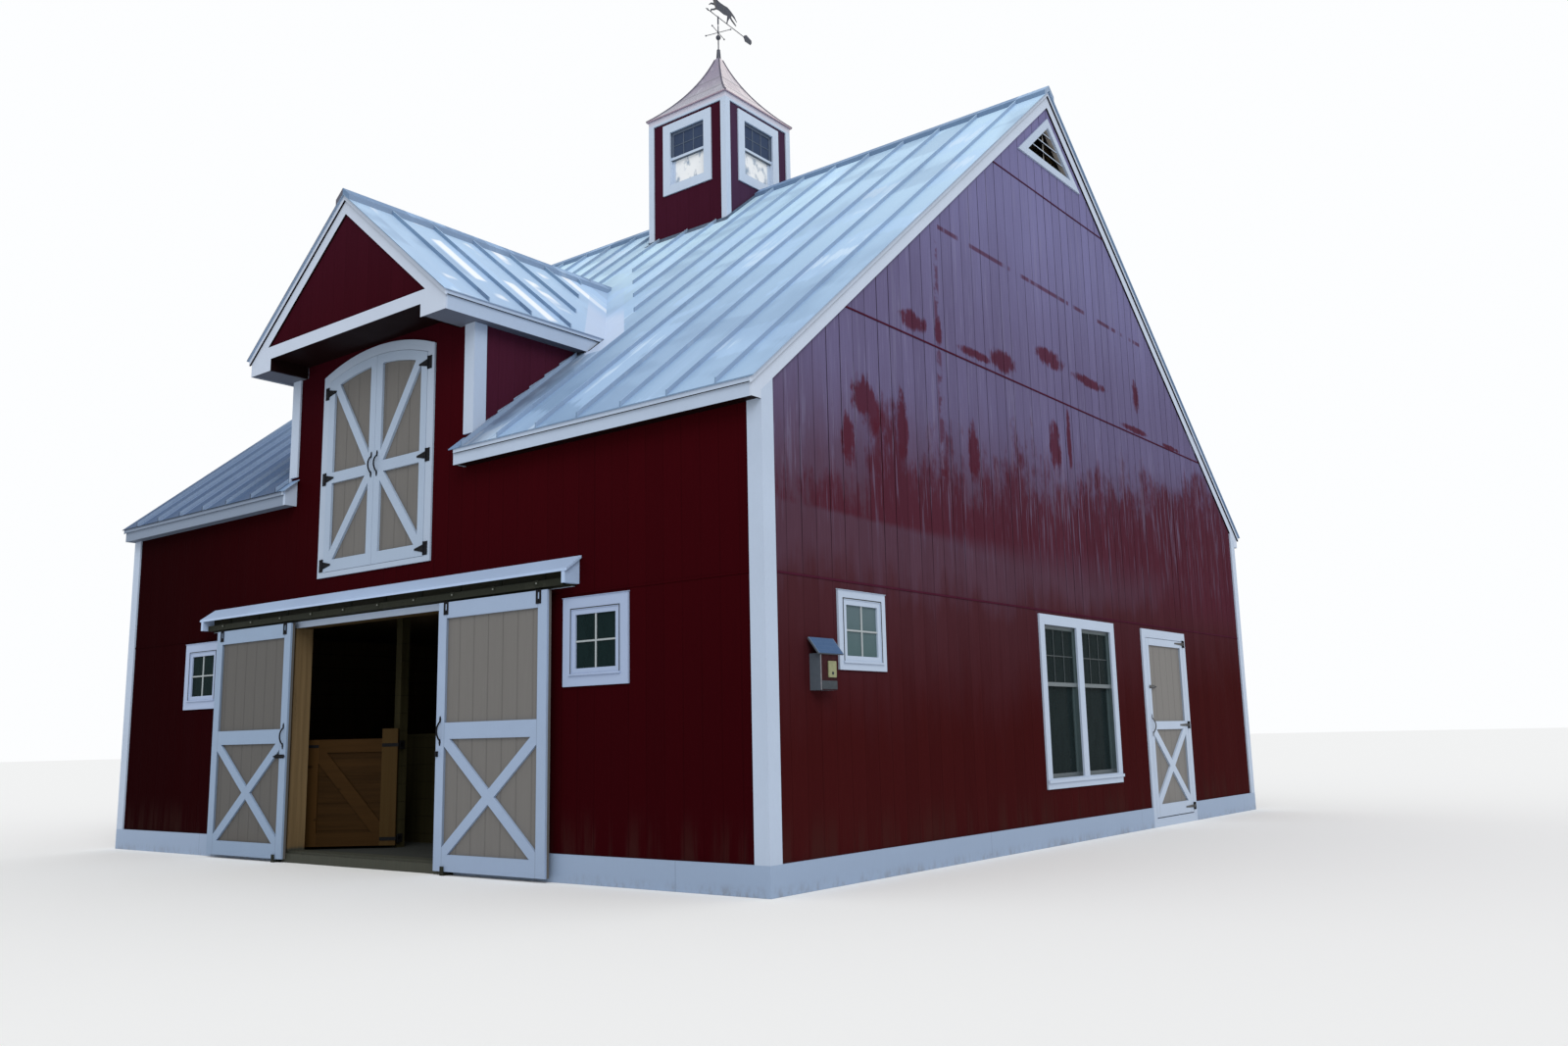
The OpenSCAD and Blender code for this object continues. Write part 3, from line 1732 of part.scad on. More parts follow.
// Running horse, arrow and tail leaf on a hub that turns on the mast's spindle
module weathervane() {
  hub_r = spindle_r + 6;
  hub_low = spindle_z + 40;
  color(copper)
    rotate([0, 0, vane_turn + 90]) {
      difference() {
        translate([0, 0, hub_low])
          cylinder(h = arrow_z + 10 - hub_low, r = hub_r);
        translate([0, 0, hub_low - 1])
          cylinder(h = spindle_top + 2 - hub_low, r = spindle_r + hub_clear);
      }
      translate([-arrow_point + 40, 0, arrow_z])
        rotate([0, 90, 0])
          cylinder(h = arrow_point + arrow_tail - 240, r = 6);
      xz(-plate_t/2, plate_t/2)
        translate([0, arrow_z]) {
          polygon([[-arrow_point, 0], [-arrow_point + 60, 18], [-arrow_point + 48, 0],
            [-arrow_point + 60, -18]]);
          leaf();
          translate([90, 0])
            horse();
        }
    }
}

module leaf() {
  translate([arrow_tail - 210, 0])
    polygon([[0, -4], [40, -leaf_h/2], [180, -leaf_h/2 + 8], [210, -10], [205, 30],
      [70, leaf_h/2], [20, 30], [0, 4]]);
}

// Outline of the galloping horse over the arrow, head towards the point, drawn 735 long
module horse() {
  scale(horse_len/735) polygon([[-330, 250], [-345, 275], [-330, 300], [-285, 330], [-262, 362], [-252, 340],
    [-225, 330], [-170, 290], [-120, 272], [-40, 262], [60, 268], [150, 280], [215, 262],
    [250, 250], [330, 215], [390, 150], [330, 180], [262, 200], [240, 170], [262, 140],
    [330, 110], [372, 84], [366, 74], [318, 84], [250, 108], [205, 138], [190, 108],
    [160, 62], [140, 4], [122, 4], [140, 80], [150, 140], [60, 118], [-60, 122],
    [-120, 110], [-190, 60], [-240, 40], [-262, 4], [-278, 4], [-262, 52], [-205, 82],
    [-150, 128], [-170, 150], [-250, 130], [-300, 92], [-312, 100], [-262, 152],
    [-190, 180], [-215, 240], [-262, 268], [-300, 262]]);
}

floor_slab();
front_wall_left();
front_wall_right();
front_wall_over();
dormer_front();
dormer_cheeks();
rear_wall();
left_wall();
right_wall_front();
right_wall_rear();
right_wall_over();
loft_floor();
front_roof_left();
front_roof_right();
front_roof_middle();
rear_roof();
front_roof_metal();
rear_roof_metal();
dormer_roof();
ridge_caps();
rake_boards();
eave_trim();
corner_boards();
base_boards();
door_track();
door_hood();
doorway_trim();
doorway_timbers();
loft_door_casing();
loft_door_frames();
loft_door_panels();
loft_door_hardware();
window_frames();
window_glass();
walk_door_casing();
gable_vents();
cupola_walls();
cupola_trim();
cupola_roof();
vane_mast();
stall_wall();
solar_box();
left_door_panel();
left_door_frame();
left_door_hardware();
right_door_panel();
right_door_frame();
right_door_hardware();
walk_door_panel();
walk_door_frame();
walk_door_hardware();
hinge_pins();
stall_gate();
gate_hardware();
weathervane();
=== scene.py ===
"""Finishes and small parts of a red timber barn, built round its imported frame.

Laid out as an add-on and run as a script. Each operator dresses one piece or one group of
like pieces. All sizes are in metres: +Z is up, -Y is the front, +X the gable with the door.
"""

import math

import bpy
from mathutils import Matrix, Vector


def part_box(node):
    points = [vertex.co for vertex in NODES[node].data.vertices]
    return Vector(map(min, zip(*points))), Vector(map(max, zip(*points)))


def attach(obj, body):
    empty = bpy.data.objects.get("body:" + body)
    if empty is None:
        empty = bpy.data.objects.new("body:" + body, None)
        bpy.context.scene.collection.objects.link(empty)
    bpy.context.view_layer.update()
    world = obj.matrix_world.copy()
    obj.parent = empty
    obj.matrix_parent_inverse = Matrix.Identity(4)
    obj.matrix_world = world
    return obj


bl_info = {
    "name": "Red Timber Barn",
    "version": (1, 0, 0),
    "blender": (4, 5, 0),
    "location": "View3D > Sidebar > Barn",
    "description": "Dresses the frame of a red timber barn with its finishes and small parts",
    "category": "Object",
}

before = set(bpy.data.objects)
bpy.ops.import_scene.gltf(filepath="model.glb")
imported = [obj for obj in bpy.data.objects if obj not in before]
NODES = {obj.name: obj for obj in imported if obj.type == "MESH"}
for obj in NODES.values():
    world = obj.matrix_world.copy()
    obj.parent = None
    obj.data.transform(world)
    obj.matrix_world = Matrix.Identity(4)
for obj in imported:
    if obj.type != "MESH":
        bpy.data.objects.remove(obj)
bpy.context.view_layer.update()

# Outer faces of the walls, measured on the frame
WALL_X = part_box("right_wall_over")[1].x
WALL_Y = -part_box("front_wall_over")[0].y
# Front eaves' height and run, and the slope of the roofs
EAVE_Z = 3.952
EAVE_RUN = WALL_Y + 0.17
SLOPE = math.tan(math.radians(39.8))
# Half widths of the dormer, of the cupola's walls and of its foot
DORMER_HALF = 1.575
CUPOLA_HALF = 0.71
CUPOLA_EDGE = 0.73
# Bell-shaped roof: half width at its foot and tip, rise, height of its foot and slope there
BELL_HALF = 0.756
BELL_TIP = 0.036
BELL_H = 1.049
BELL_Z = 10.006 + 0.014
BELL_FOOT = math.radians(39.8)

# Walls and distances along them of the small windows at the front and rear and in the gables
SMALL_WINDOWS = [("front", -3.277), ("front", 3.277)] + [
    ("rear", x) for x in (-3.277, -3.277 / 3, 3.277 / 3, 3.277)]
GABLE_WINDOWS = [("right", -4.28), ("left", -4.28), ("left", 4.28)]
# Heights of the middles of their lights, of the twin windows' upper lights and of the cupola's
SMALL_MIDDLE = 2.0195
GABLE_MIDDLE = 2.034
TWIN_MIDDLE = 1.966
CUPOLA_MIDDLE = 9.5158
# How far bars reach into their sash, and how deep they stand in it
LAP = 0.004
SMALL_DEPTH = (-0.010, 0.0035)
HUNG_DEPTH = (0.022, 0.0305)
# Heights of the hinges, and how far along their wall their pins stand
LOFT_HINGES = (3.071, 4.010, 4.961)
LOFT_PIN = 0.872
WALK_HINGES = (2.25, 1.21, 0.187)
WALK_PIN = 3.137
# Foot of the stall gate's pin, and the gate's turn from shut
GATE_PIN = (-0.71, -4.682, 0)
GATE_TURN = math.radians(37)

# Pitch of lines that are drawn once: longer than the barn
LONG_WAY = 40.0
# Heights of the dark band on the gable
BAND_FOOT = 2.965
BAND_TOP = 3.66
# Width of the bare boards inside, length of a base board and first groove of a door panel
PLANK = 0.19
BASE_BOARD = 3.66
PANEL_OFFSET = 0.1426
# Middle and half size of the deep red patches on the gable, as distances along it and up it
SPOTS = (
    ((-4.12, 4.10), (0.19, 0.20)), ((-3.96, 3.97), (0.13, 0.17)), ((-4.38, 3.68), (0.10, 0.22)),
    ((-2.17, 3.92), (0.12, 0.27)), ((-0.27, 4.30), (0.14, 0.27)), ((0.10, 4.45), (0.05, 0.36)),
    ((-3.24, 5.04), (0.24, 0.09)), ((-2.78, 5.06), (0.08, 0.14)), ((-2.02, 4.99), (0.32, 0.05)),
    ((-1.45, 5.05), (0.30, 0.12)), ((-0.29, 5.34), (0.32, 0.10)), ((0.75, 5.29), (0.42, 0.06)),
    ((2.20, 5.40), (0.10, 0.18)), ((2.10, 4.95), (0.40, 0.04)), ((-3.50, 3.95), (0.09, 0.30)),
    ((3.30, 4.92), (0.28, 0.03)),
)


def roof_z(y):
    """Height of the main roof sheet at a distance from the ridge."""
    return EAVE_Z + (EAVE_RUN - abs(y)) * SLOPE


def length(name, description, default, low, high):
    """A size that a user can change."""
    return bpy.props.FloatProperty(
        name=name, description=description, default=default, min=low, max=high, unit="LENGTH")


def angle(name, description, default):
    """A turn of the camera."""
    return bpy.props.FloatProperty(
        name=name, description=description, default=default, unit="ROTATION")


def tint(name, description, default):
    """A colour that a user can change."""
    return bpy.props.FloatVectorProperty(
        name=name, description=description, default=default, min=0, max=1, subtype="COLOR")


class BarnSizes(bpy.types.PropertyGroup):
    """Sizes of the small parts and of the patterns in the finishes."""

    groove_pitch: length(
        "Groove Pitch", "Distance between the grooves of the siding", 0.2032, 0.1, 0.4)
    groove_width: length("Groove Width", "Width of a groove in the siding", 0.012, 0.004, 0.03)
    sheet_height: length(
        "Sheet Height", "Distance between the level joints of the siding", 2.44, 2.0, 3.0)
    strip_proud: length(
        "Joint Strip", "How far the strips over the level joints stand out", 0.006, 0.002, 0.015)
    bar_width: length("Window Bar", "Width of the bars in the small windows", 0.016, 0.01, 0.04)
    fine_bar_width: length(
        "Fine Window Bar", "Width of the bars in the hung windows", 0.014, 0.006, 0.03)
    bolt_radius: length(
        "Bolt Head", "Radius of the bolt heads on the door track and doors", 0.008, 0.004, 0.02)
    screw_radius: length(
        "Screw Head", "Radius of the screw heads on the hinges", 0.006, 0.003, 0.01)
    rib_width: length(
        "Hip Rib", "Width of the folded ribs on the cupola's roof", 0.022, 0.01, 0.04)
    pan_width: length(
        "Roof Pan", "Distance between the standing seams of the roofs", 0.533, 0.3, 0.7)


class BarnColours(bpy.types.PropertyGroup):
    """Colours of the finishes."""

    siding: tint("Siding", "Deep red of the shaded siding", (0.034, 0.0016, 0.0032))
    siding_gable: tint(
        "Gable Siding", "Red of the siding low on the gables", (0.048, 0.0066, 0.0072))
    # Painted sky reflection: the purple cast high on the gables
    siding_sky_reflection: tint(
        "Siding Sheen", "Purple cast of the paint high on the gables", (0.195, 0.190, 0.365))
    # Painted light: the trim's white carries the blue cast of skylight in shade
    trim: tint("Trim", "White paint of the trim boards", (0.43, 0.515, 0.65))
    panels: tint("Door Panels", "Taupe of the doors' boarded panels", (0.195, 0.188, 0.180))
    pine: tint("Pine", "Bare pine of the linings, posts and decks", (0.20, 0.135, 0.065))
    # Painted shade: the gate's amber is darkened for the shade inside the barn
    gate: tint("Gate", "Amber brown of the stall gate's boards", (0.030, 0.0145, 0.0042))
    # Painted sky reflection: much of the sheets' blue
    roof: tint("Roof Sheet", "Blue-grey of the roof sheets", (0.25, 0.39, 0.62))
    iron: tint("Ironwork", "Black coating of hinges and pulls", (0.0055, 0.006, 0.008))
    track: tint("Track", "Dull steel of the door track", (0.018, 0.020, 0.014))
    bell: tint("Cupola Roof", "Weathered copper of the cupola's roof", (0.46, 0.47, 0.56))
    concrete: tint("Concrete", "Concrete of the floor", (0.050, 0.054, 0.050))


class BarnStage(bpy.types.PropertyGroup):
    """Place of the camera and level of the lights."""

    camera_place: bpy.props.FloatVectorProperty(
        name="Camera Place", description="Where the camera stands", subtype="TRANSLATION",
        default=(11.06918, -13.04158, 1.17245), unit="LENGTH")
    yaw: angle("Yaw", "Turn of the view from the +Y axis towards -X", 0.65617)
    pitch: angle("Pitch", "Rise of the view above level", 0.16919)
    roll: angle("Roll", "Turn of the picture about its middle", -0.02233)
    lens: bpy.props.FloatProperty(
        name="Lens", description="Focal length on a 36 mm wide sensor, in millimetres",
        default=28.7146, min=10, max=100)
    sky: bpy.props.FloatProperty(
        name="Sky", description="Strength of the even light from all round",
        default=0.72, min=0, max=2)
    sun: bpy.props.FloatProperty(
        name="Key Light", description="Strength of the large soft lamp",
        default=1.3, min=0, max=5)


def plug(tree, value, socket):
    """Links a socket to an input, or writes a plain value to it."""
    if isinstance(value, Socket):
        tree.links.new(value.socket, socket)
    elif hasattr(value, "__len__") and len(socket.default_value) == 4 and len(value) == 3:
        socket.default_value = (*value, 1)
    else:
        socket.default_value = value


def joined(operation, turned=False):
    """A method that puts a Math node on a socket and another value."""
    def method(self, other):
        return self.math(operation, *((other, self) if turned else (self, other)))
    return method


class Socket:
    """A node's output on which arithmetic adds Math nodes."""

    def __init__(self, tree, socket):
        self.tree = tree
        self.socket = socket

    def also(self, name):
        """Another output of the same node."""
        return Socket(self.tree, self.socket.node.outputs[name])

    def math(self, operation, *values):
        """A Math node on values and sockets."""
        node = self.tree.nodes.new("ShaderNodeMath")
        node.operation = operation
        for socket, value in zip(node.inputs, values):
            plug(self.tree, value, socket)
        return Socket(self.tree, node.outputs[0])

    __add__ = joined("ADD")
    __radd__ = joined("ADD", turned=True)
    __sub__ = joined("SUBTRACT")
    __rsub__ = joined("SUBTRACT", turned=True)
    __mul__ = joined("MULTIPLY")
    __rmul__ = joined("MULTIPLY", turned=True)
    __truediv__ = joined("DIVIDE")
    __mod__ = joined("FLOORED_MODULO")
    __lt__ = joined("LESS_THAN")
    __gt__ = joined("GREATER_THAN")
    most = joined("MAXIMUM")

    def __neg__(self):
        return self * -1

    def __abs__(self):
        return self.math("ABSOLUTE", self)

    def floor(self):
        return self.math("FLOOR", self)


class Nodes:
    """The nodes of a material or of the world."""

    def __init__(self, tree):
        self.tree = tree

    def add(self, kind, settings=None, inputs=None, output=0):
        """Adds a node: its settings first, then the values or links of its sockets."""
        node = self.tree.nodes.new(kind)
        for name, value in (settings or {}).items():
            setattr(node, name, value)
        for name, value in (inputs or {}).items():
            plug(self.tree, value, node.inputs[name])
        return Socket(self.tree, node.outputs[output])


class Finish(Nodes):
    """A material, the nodes that make its pattern and the object's own coordinates."""

    def __init__(self, name):
        self.material = bpy.data.materials.new(name)
        self.material.use_nodes = True
        super().__init__(self.material.node_tree)
        self.shader = self.tree.nodes["Principled BSDF"]
        self.place = self.add("ShaderNodeTexCoord", output="Object")

    def axes(self, vector=None):
        """X, Y and Z of a vector, or of the object's own coordinates."""
        split = self.add("ShaderNodeSeparateXYZ", inputs={"Vector": vector or self.place})
        return split, split.also("Y"), split.also("Z")

    def facing(self):
        """The normal in the object's own coordinates."""
        return self.axes(self.add("ShaderNodeTexCoord", output="Normal"))

    def spread(self, stretch, vector):
        return self.add("ShaderNodeMapping", inputs={
            "Vector": vector or self.place, "Scale": stretch})

    def noise(self, stretch, detail=3.0, roughness=0.6, vector=None):
        return self.add("ShaderNodeTexNoise", inputs={
            "Vector": self.spread(stretch, vector), "Scale": 1.0,
            "Detail": detail, "Roughness": roughness})

    def cells(self, stretch, vector=None):
        return self.add("ShaderNodeTexVoronoi", inputs={
            "Vector": self.spread(stretch, vector), "Scale": 1.0})

    def chance(self, number):
        """One random value for each whole number."""
        return self.add("ShaderNodeTexWhiteNoise", {"noise_dimensions": "1D"}, {"W": number})

    def ramp(self, value, low, high):
        """Smooth step from 0 to 1 between two values."""
        return self.add("ShaderNodeMapRange", {"interpolation_type": "SMOOTHSTEP"}, {
            "Value": value, "From Min": low, "From Max": high})

    def line(self, value, pitch, width, offset=0.0):
        """1 on lines that repeat at a pitch, fading to 0 beside them."""
        away = abs((value + (pitch / 2 - offset)) % pitch - pitch / 2)
        return 1 - self.ramp(away, width * 0.25, width * 0.6)

    def stripe(self, value, middle, width):
        """1 on one line, fading to 0 beside it."""
        return self.line(value, LONG_WAY, width, middle)

    def spot(self, across, up, centre, size, wobble):
        """1 inside an oval with a ragged edge."""
        far = (across - centre[0]) / size[0]
        high = (up - centre[1]) / size[1]
        return 1 - self.ramp(far * far + high * high + wobble, 0.45, 1.55)

    def mix(self, factor, first, second):
        return self.add("ShaderNodeMix", {"data_type": "RGBA"}, {
            0: factor, 6: first, 7: second}, output=2)

    def coats(self, colour, *layers):
        """Lays colours over one another, each given after the share that it covers."""
        for share, layer in layers:
            colour = self.mix(share, colour, layer)
        return colour

    def bump(self, height, distance, strength=1.0):
        return self.add("ShaderNodeBump", inputs={
            "Height": height, "Distance": distance, "Strength": strength})

    def done(self, colour, roughness, normal, specular, **others):
        """Joins the pattern to the shader. Values that don't vary go to its own sockets."""
        sockets = {"Base Color": colour, "Roughness": roughness, "Normal": normal,
                   "Specular IOR Level": specular, **others}
        for name, value in sockets.items():
            if value is not None:
                plug(self.tree, value, self.shader.inputs[name])
        return self.material


def shade(colour, factor):
    """A colour made lighter or darker."""
    return tuple(min(1.0, c * factor) for c in colour[:3])


def toward(colour, other, share):
    """A colour between two others."""
    return tuple(a + (b - a) * share for a, b in zip(colour[:3], other[:3]))


def chosen(name):
    """A colour as the panel has it."""
    return tuple(getattr(bpy.context.scene.barn_colours, name))


def between(value, low, high):
    """1 between two values."""
    return (value > low) * (value < high)


def gable_paint(f, y, z, low, sheen):
    """Gable paint: a painted purple reflection of the sky that grows upward, over a band and
    patches of deep red.
    """
    run = f.noise((6.5, 6.5, 0.7), 4.0, 0.62)
    fine_run = f.noise((28, 28, 1.4))
    blotch = f.noise((1.5, 1.5, 1.1), 4.0)
    ragged = f.noise((9, 9, 6), 4.0, 0.65)
    hair = f.noise((44, 44, 1.1))
    right = f.ramp(y, 0.0, 4.6)
    # Foot of the band is a clean line on the near side and fades out on the far one
    soft = 0.03 + f.ramp(y, -4.2, 2.2) * 0.34
    foot = f.ramp((z + y * 0.012 + (ragged - 0.5) * 0.06 - BAND_FOOT) / soft, -1.0, 1.0)
    foot = foot.most(right * f.ramp(z, 2.3, 2.9))
    top = BAND_TOP + (y + 4.0) * 0.105 - (-4.0 - y).most(0.0) * 0.22
    fade = top - z + (run - 0.5) * 1.6 + (fine_run - 0.5) * 1.1 + (blotch - 0.5) * 2.2
    band = foot * f.ramp(fade + (ragged - 0.5) * 0.9, -0.24, 0.36)
    wobble = (ragged - 0.5) * 3.2 + (fine_run - 0.5) * 1.8
    drip = f.stripe(y, -2.78, 0.11) * between(z, 3.6, 6.0)
    drip = drip * f.ramp(f.noise((3, 3, 3.4)), 0.46, 0.54)
    dash = f.stripe(z, 6.16, 0.056) * between(y, -2.70, 2.46)
    dash = dash * f.ramp(f.noise((2.4, 2.4, 0.1), 3.0, 0.7), 0.42, 0.50)
    bare = (drip * 0.7).most(dash * 0.8)
    for centre, size in SPOTS:
        bare = bare.most(f.spot(y, z, centre, size, wobble))
    shine = f.ramp(fine_run + (run - 0.5) * 0.6, 0.56, 0.68).most(
        f.ramp(hair, 0.60, 0.70) * f.ramp(y, -3.0, 0.5) * 0.9)
    level = z + (blotch - 0.5) * 0.7 + (run - 0.5) * 0.6 - right * (1 - f.ramp(z, 3.4, 5.2)) * 0.5
    # Painted sky reflection: the purple rises with the level in steps from the low red, with
    # painted sheen highlights; band and patches stay deep red
    return f.coats(
        low,
        (f.ramp(level, 1.0, 2.5), (0.068, 0.0215, 0.0290)),
        (f.ramp(level, 2.30, 2.75), (0.089, 0.043, 0.066)),
        (f.ramp(level, 2.8, 4.7), toward(low, sheen, 0.66)),
        (f.ramp(level, 4.9, 7.2), sheen),
        (band * (0.92 - shine * 0.28), (0.078, 0.0180, 0.0310)),
        (shine * f.ramp(z, 2.5, 3.6) * 0.26, (0.25, 0.24, 0.38)),
        (bare * 0.86, (0.079, 0.0120, 0.0220)))


def siding_finish(name, hollow):
    """Grooved red siding. Walls with a hollow behind them show bare boards inside."""
    sizes = bpy.context.scene.barn_sizes
    pitch = sizes.groove_pitch
    red = chosen("siding")
    f = Finish(name)
    x, y, z = f.axes()
    gable = abs(f.facing()[0]) > 0.5
    across = x + (y - x) * gable
    groove = f.line(across, pitch, sizes.groove_width)
    board = f.chance((across / pitch).floor())
    grain = f.noise((60, 60, 2.4), 4.0)
    worn = f.noise((5, 5, 0.5))
    # Painted shade: the front is a deeper red towards its shaded left end, lighter up to 4.5 m and
    # darker again above 4.9 m
    front = f.mix(f.ramp(z, 0.8, 4.5), shade(red, 0.86), shade(red, 1.22))
    front = f.coats(front, (1 - f.ramp(x, -5.2, 2.2), shade(red, 0.32)),
                    (f.ramp(z, 4.9, 5.5), shade(red, 0.90)))
    if hollow:
        sides = gable_paint(f, y, z, chosen("siding_gable"), chosen("siding_sky_reflection"))
        sides = f.mix(abs(x) < 3.0, sides, (0.082, 0.0165, 0.042))
        seam = f.line(z, sizes.sheet_height, 0.007) * between(z, 1.0, 8.0)
        strength = f.chance(((across + pitch / 2) / pitch).floor() + 0.5)
        depth = 0.11 + gable * f.ramp(z, 2.2, 3.0) * 0.52 + (worn - 0.5) * 0.8
        line = (groove * depth * (0.45 + strength * 0.95)).most(seam * 0.62)
    else:
        # Painted sky reflection: higher up, the dormer's front and the cheeks and cupola walls take
        # a purple cast
        front = f.mix(f.ramp(z, 3.9, 8.8), front, (0.056, 0.0105, 0.024))
        sides = f.mix(f.ramp(z, 5.5, 9.0), (0.070, 0.0140, 0.031), (0.072, 0.036, 0.075))
        line = groove * 0.12
    mud = (1 - f.ramp(z, 0.24, 0.70)) * f.ramp(worn + grain * 0.4, 0.60, 0.85)
    colour = f.coats(
        f.mix(gable, front, sides),
        (board * 0.12, (0.012, 0.0014, 0.0024)),
        ((1 - grain) * 0.30, (0.014, 0.0014, 0.0024)),
        (mud * 0.3, (0.040, 0.022, 0.018)),
        (line, (0.006, 0.0012, 0.002)))
    if hollow:
        # Painted shade: inside, the bare boards are dark for the shade within the barn
        inside = (abs(x) < WALL_X - 0.01) * (abs(y) < WALL_Y - 0.01)
        bare = f.mix(grain, (0.045, 0.030, 0.013), (0.085, 0.058, 0.028))
        bare = f.mix(f.line(z, PLANK, 0.008), bare, (0.012, 0.008, 0.004))
        colour = f.mix(inside, colour, bare)
    height = (1 - groove) * (0.8 if hollow else 0.25) + grain * 0.08
    return f.done(colour, 0.62 + (worn - 0.5) * 0.2, f.bump(height, 0.003), 0.003)


def paint(f, white):
    """White paint with soft clouds and fine brush marks. Returns the colour and both."""
    cloud = f.noise((1.7, 1.7, 1.7))
    fine = f.noise((38, 38, 9))
    colour = f.mix(cloud, shade(white, 0.92), shade(white, 1.06))
    return f.mix((1 - fine) * 0.14, colour, shade(white, 0.70)), cloud, fine


def painted(f, colour, cloud, fine, specular=0.25):
    """Joins white paint to the shader, its gloss clouded and its brush marks raised."""
    return f.done(colour, 0.45 + (cloud - 0.5) * 0.2, f.bump(fine, 0.0012, 0.6), specular)


def trim_finish(name, colour=None, joints=None, dirt=0.0, soffits=False):
    """White painted boards, with dirt at the foot, board joints if asked, and if asked red soffits
    and shaded eaves darkened with painted shade.
    """
    white = colour or chosen("trim")
    f = Finish(name)
    x, y, z = f.axes()
    colour, cloud, fine = paint(f, white)
    colour = f.mix((1 - f.ramp(z, 0.0, 0.55)) * cloud * 0.35, colour, shade(white, 0.55))
    if dirt:
        spatter = f.noise((17, 17, 8.5), 4.0, 0.7)
        mud = (1 - f.ramp(z, 0.0, 0.11)) * f.ramp(spatter + cloud * 0.5, 0.66, 1.0)
        colour = f.mix(mud * dirt, colour, (0.13, 0.11, 0.085))
    if joints:
        first, second = (1 - f.ramp(abs(away), 0.001, 0.0045) for away in joints(x, y))
        colour = f.mix(first.most(second) * 0.5, colour, shade(white, 0.25))
    if soffits:
        nx, ny, nz = f.facing()
        under = nz < -0.5
        # Painted shade: soffits above 3.3 m are red painted near black, as are the dormer rakes'
        # faces toward the wall between its returns
        inner = (abs(nx) > 0.5) * (abs(x) < 1.56) * (y < -5.583) * (z > 5.0)
        returns = under * between(z, 5.0, 5.24) * (abs(x) > 1.36)
        shaded = (x < -1.5) * (y < 0.4 - WALL_Y) * (z < 4.25)
        # Painted shade: the returns' undersides and the left front eave are painted grey-blue
        colour = f.coats(
            colour,
            (under.most(inner) * (z > 3.3), (0.0085, 0.0032, 0.0034)),
            (returns * 0.8, (0.15, 0.17, 0.22)),
            (shaded * 0.8, (0.16, 0.20, 0.27)))
    return painted(f, colour, cloud, fine, 0.02 if soffits else 0.25)


def window_finish(name):
    """White window paint, with painted shade on the front wall's windows and on the twin windows'
    grey sashes in the gables.
    """
    f = Finish(name)
    x, y, z = f.axes()
    colour, cloud, fine = paint(f, chosen("trim"))
    deep = WALL_X - abs(x)
    twin = (abs(x) > 4.9) * (abs(y) < 1.0) * (deep > 0.003)
    meeting_rail = (z > 1.640) * (z < 1.686) * (deep < 0.050)
    # The twin windows' grey sashes and reveals are painted dark for their shade, with a lighter
    # meeting rail
    sash = f.coats(
        f.mix(fine, (0.040, 0.062, 0.068), (0.062, 0.090, 0.096)),
        (meeting_rail, (0.13, 0.155, 0.17)),
        ((z < 0.728).most(z > 2.262) * 0.6, (0.12, 0.14, 0.16)))
    # Painted shade: windows on the front wall are painted a darker blue-grey
    colour = f.coats(colour, ((y < 0.03 - WALL_Y) * 0.8, (0.30, 0.38, 0.56)), (twin, sash))
    return painted(f, colour, cloud, fine)


def cupola_paint(name):
    """White cupola trim, with the shaded upper sashes of its windows."""
    f = Finish(name)
    x, y, z = f.axes()
    colour, cloud, fine = paint(f, (0.52, 0.61, 0.74))
    deep = CUPOLA_HALF - abs(x).most(abs(y)) > 0.004
    colour = f.coats(
        colour,
        (f.ramp(z, 9.92, 9.96) * 0.75, (0.58, 0.54, 0.62)),
        (deep * (z > 9.352) * 0.92, (0.052, 0.072, 0.115)),
        (deep * f.stripe(z, 9.3055, 0.012) * 0.85, (0.035, 0.045, 0.06)))
    return painted(f, colour, cloud, fine)


def panel_finish(name, pick_across, tone=1.0):
    """Taupe boards with soft upright grooves."""
    pitch = bpy.context.scene.barn_sizes.groove_pitch
    taupe = shade(chosen("panels"), tone)
    f = Finish(name)
    x, y, z = f.axes()
    across = pick_across(x, y)
    groove = f.line(across, pitch, 0.009, PANEL_OFFSET)
    beside = f.line(across, pitch, 0.034, PANEL_OFFSET)
    grain = f.noise((60, 60, 2.5), 4.0)
    cloud = f.noise((1.3, 1.3, 0.65), 2.0, 0.5)
    board = f.chance((across / pitch).floor())
    dirt = (1 - f.ramp(z, 0.1, 0.45)) * f.ramp(cloud + grain * 0.3, 0.45, 0.8)
    colour = f.coats(
        f.mix(grain, shade(taupe, 0.90), shade(taupe, 1.08)),
        (board * 0.16, shade(taupe, 0.78)),
        (cloud * 0.25, shade(taupe, 0.82)),
        (dirt * 0.3, (0.09, 0.075, 0.06)),
        # Painted shade: a soft dark band beside each groove
        (beside * 0.10, shade(taupe, 0.45)),
        (groove * (0.12 + board * 0.22), shade(taupe, 0.30)))
    return f.done(colour, 0.62, f.bump((1 - groove) * 0.8 + grain * 0.12, 0.003), 0.15)


